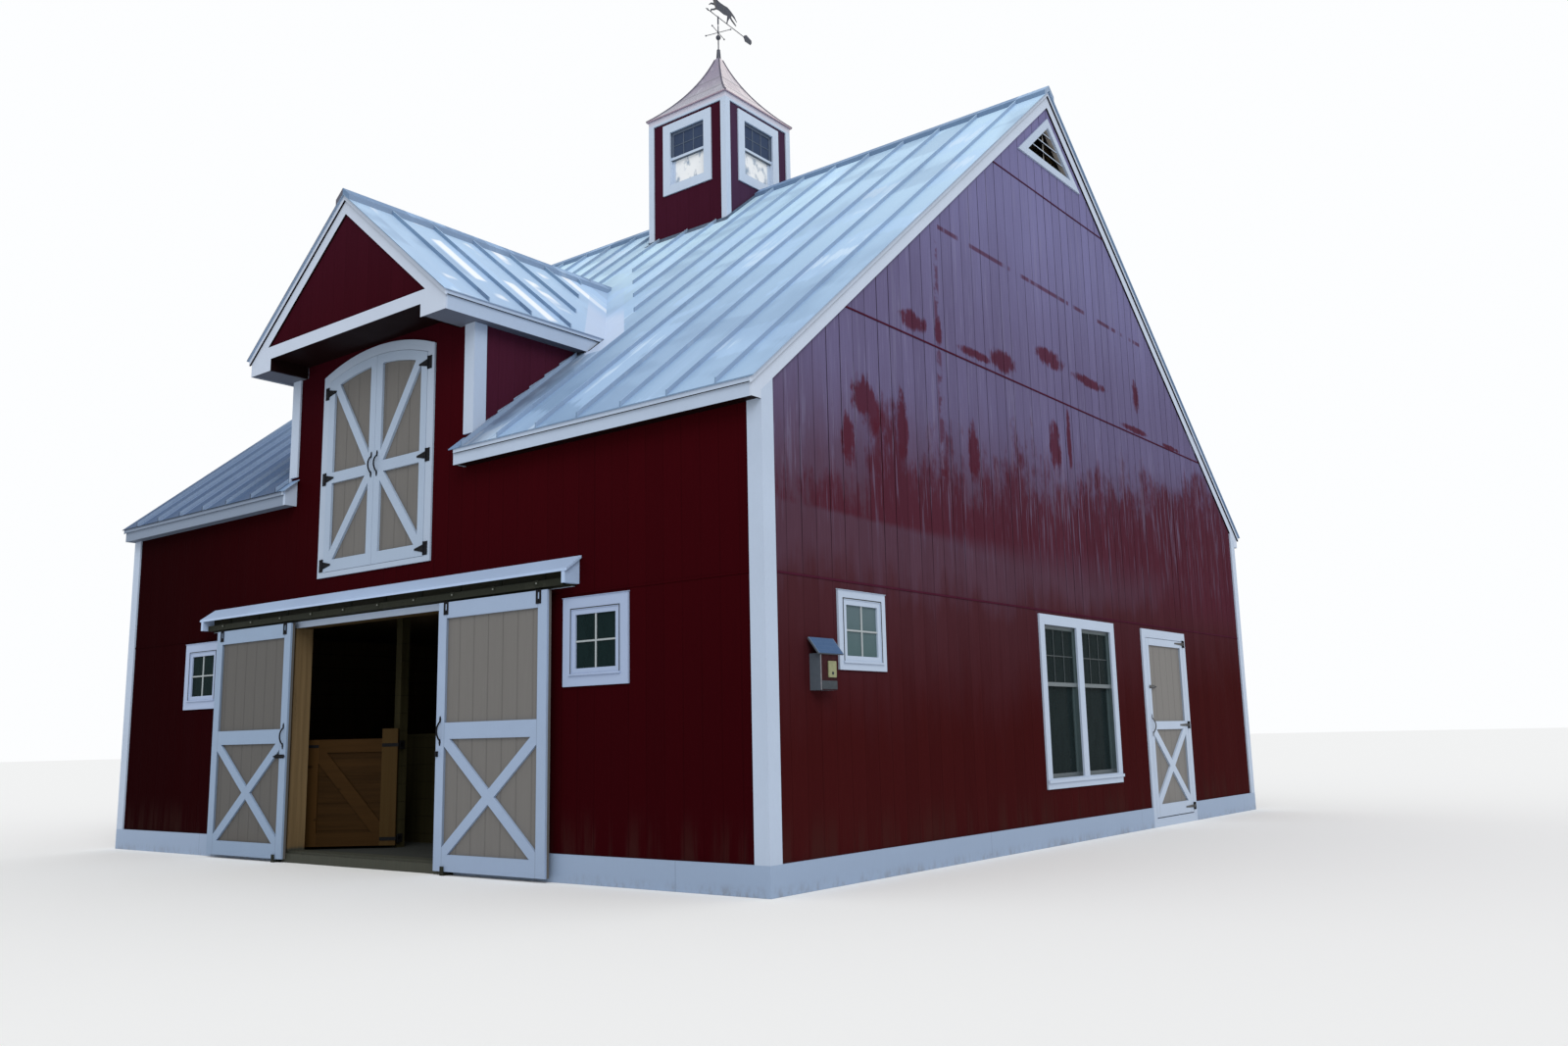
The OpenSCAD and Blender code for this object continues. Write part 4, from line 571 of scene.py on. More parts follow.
def pine_finish(name, upright=True, plank=0.0, tone=1.0, wood=None, muddy=False):
    """Bare knotty pine with upright or level grain, level plank lines and a muddy foot."""
    pine = shade(wood or chosen("pine"), tone)
    f = Finish(name)
    z = f.axes()[2]
    warp = f.noise((2, 2, 2), 2.0, 0.5)
    bands = f.noise((18, 18, 0.7) if upright else (0.7, 18, 18), 5.0, 0.65)
    fine = f.noise((72, 72, 2.8) if upright else (2.8, 72, 72))
    knot = f.cells((7, 7, 1.6) if upright else (1.6, 7, 7))
    eye = 1 - f.ramp(knot + (warp - 0.5) * 0.06, 0.05, 0.13)
    ring = f.line(knot + warp * 0.2, 0.05, 0.03) * (1 - f.ramp(knot, 0.16, 0.42))
    colour = f.coats(
        f.mix(f.ramp(bands, 0.3, 0.72), shade(pine, 0.75), shade(pine, 1.2)),
        (fine * 0.3, shade(pine, 0.66)),
        (ring * 0.35, shade(pine, 0.5)),
        (eye * 0.85, shade((0.21, 0.09, 0.036), pine[0] / 0.42)))
    height = fine * 0.4 + bands * 0.2
    if muddy:
        foot = 1 - f.ramp(z + (bands - 0.5) * 0.05, 0.115, 0.16)
        dust = f.mix(fine, (0.024, 0.030, 0.025), (0.055, 0.062, 0.052))
        colour = f.mix(foot * 0.92, colour, dust)
    if plank:
        gap = f.line(z, plank, 0.007)
        colour = f.mix(gap * 0.6, colour, shade(pine, 0.22))
        height = height + (1 - gap) * 1.5
    return f.done(colour, 0.66, f.bump(height, 0.0016), 0.15)


def gate_finish(name, pin, turn):
    """Amber pine of the stall gate, painted dark for the shade inside the barn: smooth level boards
    inside lighter stiles and rails.
    """
    f = Finish(name)
    # Coordinates of the gate itself: from its pin, along its face and up
    local = f.add("ShaderNodeMapping", {"vector_type": "TEXTURE"}, {
        "Vector": f.place, "Location": pin, "Rotation": (0, 0, turn)})
    x, y, z = f.axes(local)
    # Painted shade: the amber is darkened for the shade inside the barn
    amber = chosen("gate")
    level = f.noise((0.8, 20, 16), 5.0, 0.65, local)
    upright = f.noise((20, 20, 0.8), 5.0, 0.65, local)
    eye = 1 - f.ramp(f.cells((2.2, 6, 6), local), 0.05, 0.14)
    heel = x > -0.183
    end = x < -0.868
    framed = y < -0.0205
    tone = level + (upright - level) * heel.most(end)
    board = f.line(z, 0.285, 0.006) * (1 - framed)
    colour = f.coats(
        f.mix(f.ramp(tone, 0.3, 0.7), shade(amber, 0.68), shade(amber, 1.18)),
        (framed * 0.45, shade(amber, 1.55)),
        (end * 0.8, shade(amber, 1.7)),
        (heel * 0.75, f.mix(tone, shade(amber, 1.5), (0.070, 0.048, 0.018))),
        (eye * 0.7, shade(amber, 0.3)),
        (board * 0.5, shade(amber, 0.25)))
    return f.done(colour, 0.6, f.bump(tone + (1 - board) * 1.2, 0.0014), 0.04)


def roof_finish(name, caps=False):
    """Galvanised sheet in long pans, each with its own dull stretches and bright stretches of
    painted sky reflection.
    """
    pitch = bpy.context.scene.barn_sizes.pan_width
    # Painted shade: caps are darker for the shade on their near faces
    blue = shade(chosen("roof"), 0.80 if caps else 1.0)
    f = Finish(name)
    x, y, z = f.axes()
    nx, ny, nz = f.facing()
    dormer = abs(nx) > abs(ny)
    main = 1 - dormer
    across = x + (y - x) * dormer
    down = y + (x - y) * dormer
    number = (across / pitch + dormer * 40).floor()
    flow = f.add("ShaderNodeCombineXYZ", inputs={"X": across, "Y": down, "Z": dormer * 7})
    steps = f.add("ShaderNodeCombineXYZ", inputs={
        "X": number * 3.7 + across * 0.30, "Y": down, "Z": dormer * 9})
    streak = f.noise((12, 0.45, 1), 3.0, 0.55, flow)
    patch = f.noise((0.9, 0.55, 1), vector=flow)
    stretch = f.noise((1, 0.75, 1), 3.0, 0.55, steps)
    buckle = f.noise((2.6, 1.3, 1), 1.0, 0.4, flow)
    swing = streak - 0.5
    # Painted sky reflection: sheets are paler towards the ridge
    colour = f.mix(f.ramp(z, 4.2, 8.4), shade(blue, 0.76), blue if caps else (0.62, 0.85, 1.0))
    if not caps:
        # Pans near the right-hand rake catch more sky
        colour = f.mix(f.ramp(x + z * 0.35, 2.2, 6.4) * 0.50, colour, (0.55, 0.77, 1.0))
    colour = f.mix(f.chance(number) * 0.25, colour, shade(blue, 0.90))
    if not caps:
        # Painted light: the dormer's roof is painted paler than the main roof
        colour = f.mix(dormer * 0.60, colour, (0.50, 0.66, 0.88))
    # Painted sky reflection in each pan's bright stretches, over duller stretches, streaks, patches
    # and a fine spangle
    colour = f.coats(
        colour,
        (f.ramp(stretch + swing * 0.12, 0.53, 0.56) * 0.40, (0.48, 0.68, 0.95)),
        (f.ramp(stretch + swing * 0.34, 0.62, 0.66) * 0.55, (0.70, 0.84, 0.98)),
        ((1 - f.ramp(stretch + swing * 0.10, 0.38, 0.44)) * 0.32, shade(blue, 0.72)),
        (f.ramp(streak, 0.52, 0.75) * 0.25, (0.50, 0.66, 0.90)),
        ((1 - f.ramp(patch, 0.34, 0.5)) * 0.24, shade(blue, 0.66)),
        (f.cells((60, 60, 60)) * 0.08, shade(blue, 0.7)))
    if not caps:
        # White glints lie beside the dormer's seams
        glint = f.line(across, pitch, 0.17, 0.10) * f.ramp(stretch, 0.515, 0.545)
        colour = f.mix(dormer * glint * (nz > 0.5) * 0.9, colour, (0.95, 0.97, 1.0))
    # Pans beside the dormer's cheeks mirror the dark wall, and those left of it the shade
    beside = 1 - f.ramp(abs(x) - DORMER_HALF, 0.05, 0.60)
    beside = beside * (abs(x) > 1.57) * f.ramp(-y, 4.0, 4.5)
    shaded = (x < -1.57) * (y < 0) * main * (1 - f.ramp(z, 4.9, 7.4))
    pale = f.line(across, pitch, 0.085, 0.055) * f.ramp(-x, 2.3, 3.3)
    # The valleys' bright sheets lie along the foot of the dormer's roof
    away = abs(abs(x) + y + 2.26) * 0.7071
    valley = (1 - f.ramp(away, 0.20, 0.212)) * between(y, -4.3, -2.35) * (abs(x) < 2.0)
    # Sheet edges are dull along the rakes; painted shade makes them brown-grey at the dormer's left
    # and near black at the left eave
    rake_edge = (abs(nx) > 0.9) * (abs(x) > 5.2)
    left_edge = ((ny < -0.9) * (x < 0)).most(dormer * (nx < -0.3)) * (z > 5.2) * (y < -5.9)
    lip = (ny < -0.9) * (x < -1.5) * (z < 4.2)
    colour = f.coats(
        colour,
        (beside * main * 0.62, (0.085, 0.088, 0.13)),
        (shaded * 0.92, (0.046, 0.082, 0.165)),
        (shaded * pale * 0.42, (0.36, 0.46, 0.66)),
        (valley * 0.35, (0.40, 0.56, 0.80)),
        (valley * f.ramp(-y, 3.1, 3.5) * 0.80, (0.56, 0.65, 0.82)),
        # Painted shade on the seams' side faces
        ((nz < 0.35) * 0.72, f.mix(dormer, (0.12, 0.19, 0.30), (0.24, 0.31, 0.42))),
        (rake_edge * 0.8, (0.30, 0.31, 0.29)),
        (left_edge * 0.8, (0.11, 0.095, 0.105)),
        (lip * 0.85, (0.022, 0.026, 0.034)))
    return f.done(colour, 0.44 + swing * 0.3 + (stretch - 0.5) * 0.2,
                  f.bump(buckle + streak * 0.08, 0.010, 0.5), 0.012,
                  Metallic=0.16 - shaded * 0.16)


def metal_finish(name, colour, wear, grain=30.0, roughness=0.6, metallic=0.0):
    """Coated or weathered metal with mottling and worn places."""
    f = Finish(name)
    mottle = f.noise((grain, grain, grain), 4.0, 0.65)
    broad = f.noise((grain / 8, grain / 8, grain * 0.075))
    tone = f.mix(mottle, shade(colour, 0.72), shade(colour, 1.25))
    tone = f.mix(f.ramp(broad + (mottle - 0.5) * 0.5, 0.52, 0.7) * 0.55, tone, wear)
    return f.done(tone, roughness + (broad - 0.5) * 0.3, f.bump(mottle, 0.0006), 0.08,
                  Metallic=metallic)


def bell_finish(name):
    """Weathered copper in curved sheets with level seams, streaked down the slope."""
    copper = chosen("bell")
    f = Finish(name)
    x, y, z = f.axes()
    nx, ny, nz = f.facing()
    side = abs(nx) > abs(ny)
    flow = f.add("ShaderNodeCombineXYZ", inputs={
        "X": x + (y - x) * side, "Y": z, "Z": side * 5})
    streak = f.noise((16, 1.6, 1), 4.0, 0.6, flow)
    mottle = f.noise((7, 7, 7))
    seam = f.stripe(z, 10.34, 0.036).most(f.stripe(z, 10.60, 0.030))
    # Painted light: faces to X are near white for their sheen, faces to Y darker and darker still
    # high up
    front = f.mix(f.ramp(z, 10.25, 10.65), shade(copper, 0.70), (0.24, 0.215, 0.30))
    colour = f.coats(
        f.mix(side, front, (0.74, 0.67, 0.69)),
        ((1 - f.ramp(streak, 0.35, 0.6)) * 0.55, (0.27, 0.23, 0.31)),
        (f.ramp(mottle, 0.5, 0.72) * 0.35, (0.60, 0.60, 0.66)),
        ((1 - f.ramp(mottle, 0.3, 0.5)) * 0.25, (0.36, 0.28, 0.34)),
        ((1 - f.ramp(z, 10.02, 10.06)) * 0.55, (0.34, 0.20, 0.25)),
        (seam * 0.62, shade(copper, 0.30)))
    return f.done(colour, 0.40 + (mottle - 0.5) * 0.2,
                  f.bump(streak * 0.3 + (1 - seam), 0.002), 0.3, Metallic=0.2)


def glass_finish(name):
    """Window glass: dark with the dark rooms behind it, with painted sky in the gable's small
    windows and painted bright sky in the cupola's lower sashes.
    """
    f = Finish(name)
    x, y, z = f.axes()
    grime = f.noise((9, 9, 3.6), 4.0, 0.65)
    upper = z > 9.33
    in_gable = abs(x) > 5.0
    # Painted sky reflection in the gable's small windows
    sky = f.mix(f.ramp(z + (grime - 0.5) * 0.1, 1.8, 2.25), (0.090, 0.145, 0.155),
                (0.115, 0.165, 0.185))
    # Painted bright sky fills the cupola's lower lights
    painted_sky = f.mix(f.ramp(f.noise((6, 6, 4)), 0.36, 0.52), (0.32, 0.40, 0.50), (0.92, 0.93, 0.93))
    colour = f.coats(
        f.mix(grime, (0.006, 0.013, 0.014), (0.012, 0.024, 0.025)),
        (in_gable * (abs(y) > 3.0) * 0.9, sky),
        (in_gable * (abs(y) < 1.0) * 0.6,
         f.mix(grime, (0.008, 0.012, 0.013), (0.018, 0.025, 0.027))),
        (upper, f.mix(grime, (0.040, 0.058, 0.105), (0.055, 0.078, 0.135))),
        ((z > 8.5) * (1 - upper), painted_sky))
    ripple = f.noise((3, 3, 3), 1.0, 0.4)
    return f.done(colour, 0.08 + grime * 0.06, f.bump(ripple, 0.002, 0.15), 0.006,
                  Alpha=0.93 + grime * 0.06)


def concrete_finish(name):
    """Trowelled concrete with dust and stains."""
    grey = chosen("concrete")
    f = Finish(name)
    broad = f.noise((0.8, 0.8, 0.8), 4.0)
    grit = f.noise((90, 90, 90))
    colour = f.mix(broad, shade(grey, 0.55), shade(grey, 1.1))
    return f.done(f.mix(grit * 0.35, colour, shade(grey, 0.5)), 0.85, f.bump(grit, 0.0015), 0.15)


def vent_finish(name):
    """White casing with slats in its hollow: pale front edges, other faces painted in shade and
    painted darkness deep inside.
    """
    f = Finish(name)
    x = f.axes()[0]
    nx, ny, nz = f.facing()
    colour, cloud, fine = paint(f, chosen("trim"))
    # Painted shade: the slats' faces are dark, their front edges pale, and deep in the hollow near
    # black
    slats_in_shade = f.coats(
        f.mix(fine, (0.022, 0.018, 0.017), (0.050, 0.042, 0.040)),
        (abs(nx) > 0.8, f.mix(fine, (0.34, 0.32, 0.30), (0.44, 0.42, 0.40))),
        (abs(ny) > 0.3, (0.36, 0.33, 0.30)),
        (abs(x) < WALL_X - 0.060, (0.010, 0.008, 0.008)))
    colour = f.mix(1 - f.ramp(abs(x), WALL_X - 0.016, WALL_X - 0.006), colour, slats_in_shade)
    return f.done(colour, 0.5, f.bump(fine, 0.0012, 0.6), 0.15)


def header_finish(name):
    """White header board below, bare pine track board above."""
    pine = shade(chosen("pine"), 0.8)
    f = Finish(name)
    z = f.axes()[2]
    bands = f.noise((0.7, 18, 18), 5.0, 0.65)
    eye = 1 - f.ramp(f.cells((2.2, 9, 9)), 0.05, 0.14)
    # The track board is near black up to 2.655 m, with bare pine only along its top edge
    near_black = 1 - f.ramp(z + (bands - 0.5) * 0.01, 2.655, 2.660)
    wood = f.coats(
        f.mix(f.ramp(bands, 0.3, 0.7), shade(pine, 0.5), shade(pine, 0.95)),
        (eye * 0.8, shade(pine, 0.18)),
        (near_black * 0.94, f.mix(bands, (0.012, 0.014, 0.010), (0.022, 0.024, 0.017))))
    colour = f.mix(z > 2.5025, paint(f, chosen("trim"))[0], wood)
    return f.done(colour, 0.55, f.bump(bands, 0.0012, 0.6), 0.05)


def control_finish(name):
    """Grey box paint, and blue cells with pale wires on the small solar panel."""
    f = Finish(name)
    x, y, z = f.axes()
    nx, ny, nz = f.facing()
    mottle = f.noise((30, 30, 30), 4.0)
    wire = f.line(y, 0.0425, 0.0014).most(f.line(z, 0.033, 0.0014))
    rim = (y < -5.058).most(y > -4.734)
    cells = f.coats(
        f.mix(mottle, (0.045, 0.090, 0.19), (0.065, 0.125, 0.24)),
        (wire * 0.5, (0.16, 0.22, 0.32)), (rim * 0.8, (0.16, 0.22, 0.30)))
    box = f.mix(mottle, (0.068, 0.085, 0.105), (0.100, 0.120, 0.148))
    colour = f.mix((nx > 0.5) * (nz > 0.4), box, cells)
    return f.done(colour, 0.4, f.bump(mottle, 0.0006), 0.03)


def dress(material, *names):
    """Gives CAD nodes their finish through their material slots."""
    for name in names:
        node = NODES[name]
        if not node.material_slots:
            node.data.materials.append(material)
        for place in node.material_slots:
            place.material = material


def deselect():
    if bpy.context.mode != "OBJECT":
        bpy.ops.object.mode_set(mode="OBJECT")
    bpy.ops.object.select_all(action="DESELECT")


def only(piece):
    """Selects one piece and makes it active."""
    deselect()
    piece.select_set(True)
    bpy.context.view_layer.objects.active = piece


def named(piece, name):
    piece.name = name
    piece.data.name = name
    return piece


def settle(name):
    """Names the new primitive and puts its place into its mesh."""
    piece = named(bpy.context.object, name)
    bpy.ops.object.transform_apply(location=True, rotation=True, scale=True)
    return piece


def block(name, low, high):
    """Box between two corners, the start of a board or plate."""
    deselect()
    low, high = Vector(low), Vector(high)
    bpy.ops.mesh.primitive_cube_add(size=1, location=(low + high) / 2, scale=high - low)
    return settle(name)


def rod(name, centre, radius, depth, axis, sides):
    """Cylinder about a centre along one axis."""
    deselect()
    turn = {"X": (0, math.pi / 2, 0), "Y": (math.pi / 2, 0, 0)}[axis]
    bpy.ops.mesh.primitive_cylinder_add(
        vertices=sides, radius=radius, depth=depth, location=centre, rotation=turn)
    return settle(name)


def pick(piece, test):
    """Selects the faces whose normal passes a test, and opens edit mode."""
    only(piece)
    bpy.ops.object.mode_set(mode="EDIT")
    bpy.ops.mesh.select_mode(type="FACE")
    bpy.ops.mesh.select_all(action="DESELECT")
    bpy.ops.object.mode_set(mode="OBJECT")
    for face in piece.data.polygons:
        face.select = test(face.normal)
    bpy.ops.object.mode_set(mode="EDIT")


def to_front(normal):
    return normal.y < -0.9


def to_right(normal):
    return normal.x > 0.9


def close_edit():
    bpy.ops.object.mode_set(mode="OBJECT")


def soften(piece, width, segments=2):
    """Rounds the edges of a piece with a bevel that is applied."""
    only(piece)
    bevel = piece.modifiers.new("Bevel", "BEVEL")
    bevel.width = width
    bevel.segments = segments
    bevel.limit_method = "ANGLE"
    bevel.angle_limit = math.radians(30)
    bpy.ops.object.modifier_apply(modifier=bevel.name)
    bpy.ops.object.shade_smooth_by_angle(angle=math.radians(35))
    return piece


def sink(piece, test, inset, move):
    """Insets the faces that pass a test and moves them."""
    pick(piece, test)
    bpy.ops.mesh.inset(thickness=inset)
    bpy.ops.transform.translate(value=move)
    close_edit()
    return piece


def slim(piece, share, level):
    """Brings a nose's front face down to a share of its height, about a level."""
    pick(piece, to_front)
    bpy.ops.transform.resize(value=(1, 1, share), center_override=(0, 0, level))
    close_edit()
    return piece


def moved(piece, matrix):
    """Takes a piece's mesh to its place."""
    piece.data.transform(matrix)
    if matrix.determinant() < 0:
        piece.data.flip_normals()
    return piece


def join(name, pieces):
    """Joins pieces into one."""
    deselect()
    for piece in pieces:
        piece.select_set(True)
    bpy.context.view_layer.objects.active = pieces[0]
    bpy.ops.object.join()
    return named(bpy.context.object, name)


def repeat(name, piece, matrices):
    """Copies one model to every place, each copy with its own mesh, and joins the copies."""
    copies = []
    for matrix in matrices:
        twin = piece.copy()
        twin.data = piece.data.copy()
        bpy.context.scene.collection.objects.link(twin)
        copies.append(moved(twin, matrix))
    bpy.data.objects.remove(piece)
    return join(name, copies)


def finish_piece(piece, body, material):
    """Gives a new piece its finish and the body it rides on."""
    piece.data.materials.clear()
    piece.data.materials.append(material)
    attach(piece, body)


def sweep(name, path, width, height, up):
    """Bar of square section drawn along a path by extruding its end face."""
    start, after = Vector(path[0]), Vector(path[1])
    along = (after - start).normalized()
    side = along.cross(Vector(up)).normalized()
    top = side.cross(along)
    deselect()
    bpy.ops.mesh.primitive_plane_add(size=1, location=(0, 0, 0))
    piece = named(bpy.context.object, name)
    turn = Matrix((side, top, -along)).transposed().to_4x4()
    piece.data.transform(Matrix.Translation(start) @ turn @ Matrix.Diagonal((width, height, 1, 1)))
    bpy.ops.object.mode_set(mode="EDIT")
    bpy.ops.mesh.select_mode(type="FACE")
    bpy.ops.mesh.select_all(action="SELECT")
    for before, point in zip(path, path[1:]):
        bpy.ops.mesh.extrude_region_move(
            TRANSFORM_OT_translate={"value": Vector(point) - Vector(before)})
    bpy.ops.mesh.select_all(action="SELECT")
    bpy.ops.mesh.normals_make_consistent(inside=False)
    close_edit()
    return piece


def on_wall(side, x=0.0, z=0.0):
    """Places things drawn for a wall that faces -Y, with x = 0 in its middle."""
    way, out = {"front": (0, WALL_Y), "rear": (math.pi, WALL_Y),
                "right": (math.pi / 2, WALL_X), "left": (-math.pi / 2, WALL_X)}[side]
    return Matrix.Rotation(way, 4, "Z") @ Matrix.Translation((x, -out, z))


def lattice(name, width, height, columns, rows, bar, depth):
    """Crossing bars of one window light, centred on the origin, each bevelled."""
    low, high = depth
    half = bar / 2
    bars = []
    for i in range(1, columns):
        x = -width / 2 + width * i / columns
        bars.append(block(name, (x - half, low, -height / 2 - LAP),
                          (x + half, high, height / 2 + LAP)))
    for j in range(1, rows):
        z = -height / 2 + height * j / rows
        bars.append(block(name, (-width / 2 - LAP, low + 0.0006, z - half),
                          (width / 2 + LAP, high - 0.0006, z + half)))
    return join(name, [soften(piece, bar * 0.18, 1) for piece in bars])


class BARN_OT_windows(bpy.types.Operator):
    """Dress the windows: frames, glass, bars, sills and drip caps"""

    bl_idname = "barn.windows"
    bl_label = "Windows"

    def execute(self, context):
        sizes = context.scene.barn_sizes
        white = window_finish("window_paint")
        dress(white, "window_frames")
        dress(glass_finish("window_glass"), "window_glass")
        cream = trim_finish("window_bar_paint", (0.36, 0.40, 0.42))
        bars = []
        for name, places, middle, width, height in (
                ("small", SMALL_WINDOWS, SMALL_MIDDLE, 0.490, 0.463),
                ("gable", GABLE_WINDOWS, GABLE_MIDDLE, 0.464, 0.424)):
            light = lattice(name + "_bars", width, height, 2, 2, sizes.bar_width, SMALL_DEPTH)
            bars.append(repeat(name + "_window_bars", light, [
                on_wall(side, x, middle) for side, x in places]))
        finish_piece(join("window_bars", bars), "barn", cream)
        fine = lattice("twin_bars", 0.703, 0.564, 3, 2, sizes.fine_bar_width, HUNG_DEPTH)
        fine = repeat("twin_window_bars", fine, [
            on_wall(side, x, TWIN_MIDDLE)
            for side in ("right", "left") for x in (-0.4575, 0.4575)])
        # Painted shade: the twin windows' bars are dark grey like their shaded sashes
        finish_piece(fine, "barn",
                     trim_finish("fine_bar_paint", (0.026, 0.037, 0.042)))
        self.sills(white)
        self.seals()
        return {"FINISHED"}

    def sills(self, white):
        """Sill noses under the small windows' sashes and drip caps over their casings."""
        parts = []
        for places, z, half, height, casing in ((SMALL_WINDOWS, 1.637, 0.396, 0.765, 0.095),
                                                (GABLE_WINDOWS, 1.704, 0.350, 0.660, 0.062)):
            low, top = z + casing - 0.006, z + height
            reach = half - casing + 0.008
            for side, x in places:
                nose = slim(block("sill", (-reach, -0.036, low), (reach, -0.012, low + 0.022)),
                            0.6, low)
                cap = slim(block("drip_cap", (-half - 0.006, -0.030, top),
                                 (half + 0.006, 0.0, top + 0.010)), 0.4, top)
                parts += [moved(soften(nose, 0.003), on_wall(side, x)),
                          moved(soften(cap, 0.0015, 1), on_wall(side, x))]
        finish_piece(join("window_sills", parts), "barn", white)

    def seals(self):
        """Thin dark strips that stand for the shadow lines between the small windows' sashes and
        casings.
        """
        parts = []
        for places, z, half, rise in ((SMALL_WINDOWS, SMALL_MIDDLE, 0.301, 0.2875),
                                      (GABLE_WINDOWS, GABLE_MIDDLE, 0.288, 0.268)):
            for side, x in places:
                seal = block("seal", (-half, -0.0235, z - rise), (half, -0.0140, z + rise))
                pick(seal, lambda normal: abs(normal.y) > 0.9)
                bpy.ops.mesh.inset(thickness=0.007)
                bpy.ops.mesh.delete(type="FACE")
                pick(seal, lambda normal: False)
                bpy.ops.mesh.select_mode(type="EDGE")
                bpy.ops.mesh.select_non_manifold()
                bpy.ops.mesh.bridge_edge_loops()
                bpy.ops.mesh.select_all(action="SELECT")
                bpy.ops.mesh.normals_make_consistent(inside=False)
                close_edit()
                parts.append(moved(seal, on_wall(side, x)))
        # Painted shade: the strips are near black for the shadow in those gaps
        shade_line_finish = metal_finish("seal_rubber", (0.030, 0.033, 0.036), (0.055, 0.058, 0.06), 60.0, 0.7)
        finish_piece(join("window_seals", parts), "barn", shade_line_finish)


class BARN_OT_siding(bpy.types.Operator):
    """Dress the walls in grooved red siding, with strips over its level joints"""

    bl_idname = "barn.siding"
    bl_label = "Siding"

    def execute(self, context):
        walls = siding_finish("red_siding_walls", True)
        upper = siding_finish("red_siding_upper", False)
        dress(walls, "front_wall_left", "front_wall_right", "front_wall_over", "rear_wall",
              "left_wall", "right_wall_front", "right_wall_rear", "right_wall_over")
        dress(upper, "dormer_front", "dormer_cheeks", "cupola_walls")
        self.strips(context.scene.barn_sizes, upper)
        return {"FINISHED"}

    def strips(self, sizes, paint):
        """Bent metal strips that lap the level joints of the sheets."""
        proud = sizes.strip_proud
        corner_board = 0.13
        reach = WALL_X - corner_board
        runs = []
        for level in (1, 2, 3):
            z = sizes.sheet_height * level
            # Strips above the eaves end under the rakes
            half = WALL_Y - corner_board if level == 1 else (
                EAVE_RUN - (z + 0.215 - EAVE_Z) / SLOPE)
            runs += [("right", -half, half, z), ("left", -half, half, z)]
        runs += [("front", 1.462, reach, sizes.sheet_height),
                 ("front", -reach, -1.462, sizes.sheet_height),
                 ("rear", -reach, reach, sizes.sheet_height)]
        strips = []
        for side, start, end, z in runs:
            strip = block("joint_strip", (start, -proud, z - 0.006), (end, 0, z + 0.010))
            sink(strip, lambda normal: normal.z > 0.9, 0.0015, (0, proud * 0.3, 0.002))
            strips.append(moved(strip, on_wall(side)))
        finish_piece(join("siding_joint_strips", strips), "barn", paint)


class BARN_OT_trim(bpy.types.Operator):
    """Dress the white boards, the vents, the hood and the walk door's casing"""

    bl_idname = "barn.trim"
    bl_label = "White Trim"

    def execute(self, context):
        dress(trim_finish("white_boards"), "corner_boards", "walk_door_casing")
        dress(trim_finish("rake_paint", (0.52, 0.59, 0.71), soffits=True), "rake_boards")
        dress(trim_finish("loft_casing_paint", (0.36, 0.44, 0.56)), "loft_door_casing")
        dress(trim_finish("hood_paint", (0.39, 0.51, 0.72)), "door_hood")
        dress(trim_finish("eave_paint", soffits=True), "eave_trim")
        dress(cupola_paint("cupola_paint"), "cupola_trim")
        dress(trim_finish("base_board_paint", (0.29, 0.38, 0.53), dirt=0.45,
                          joints=lambda x, y: (
                              (x + 1.3) % BASE_BOARD - BASE_BOARD / 2,
                              (y + 0.4) % BASE_BOARD - BASE_BOARD / 2)), "base_boards")
        dress(vent_finish("vent_paint"), "gable_vents")
        dress(header_finish("header_and_track_board"), "doorway_trim")
        return {"FINISHED"}


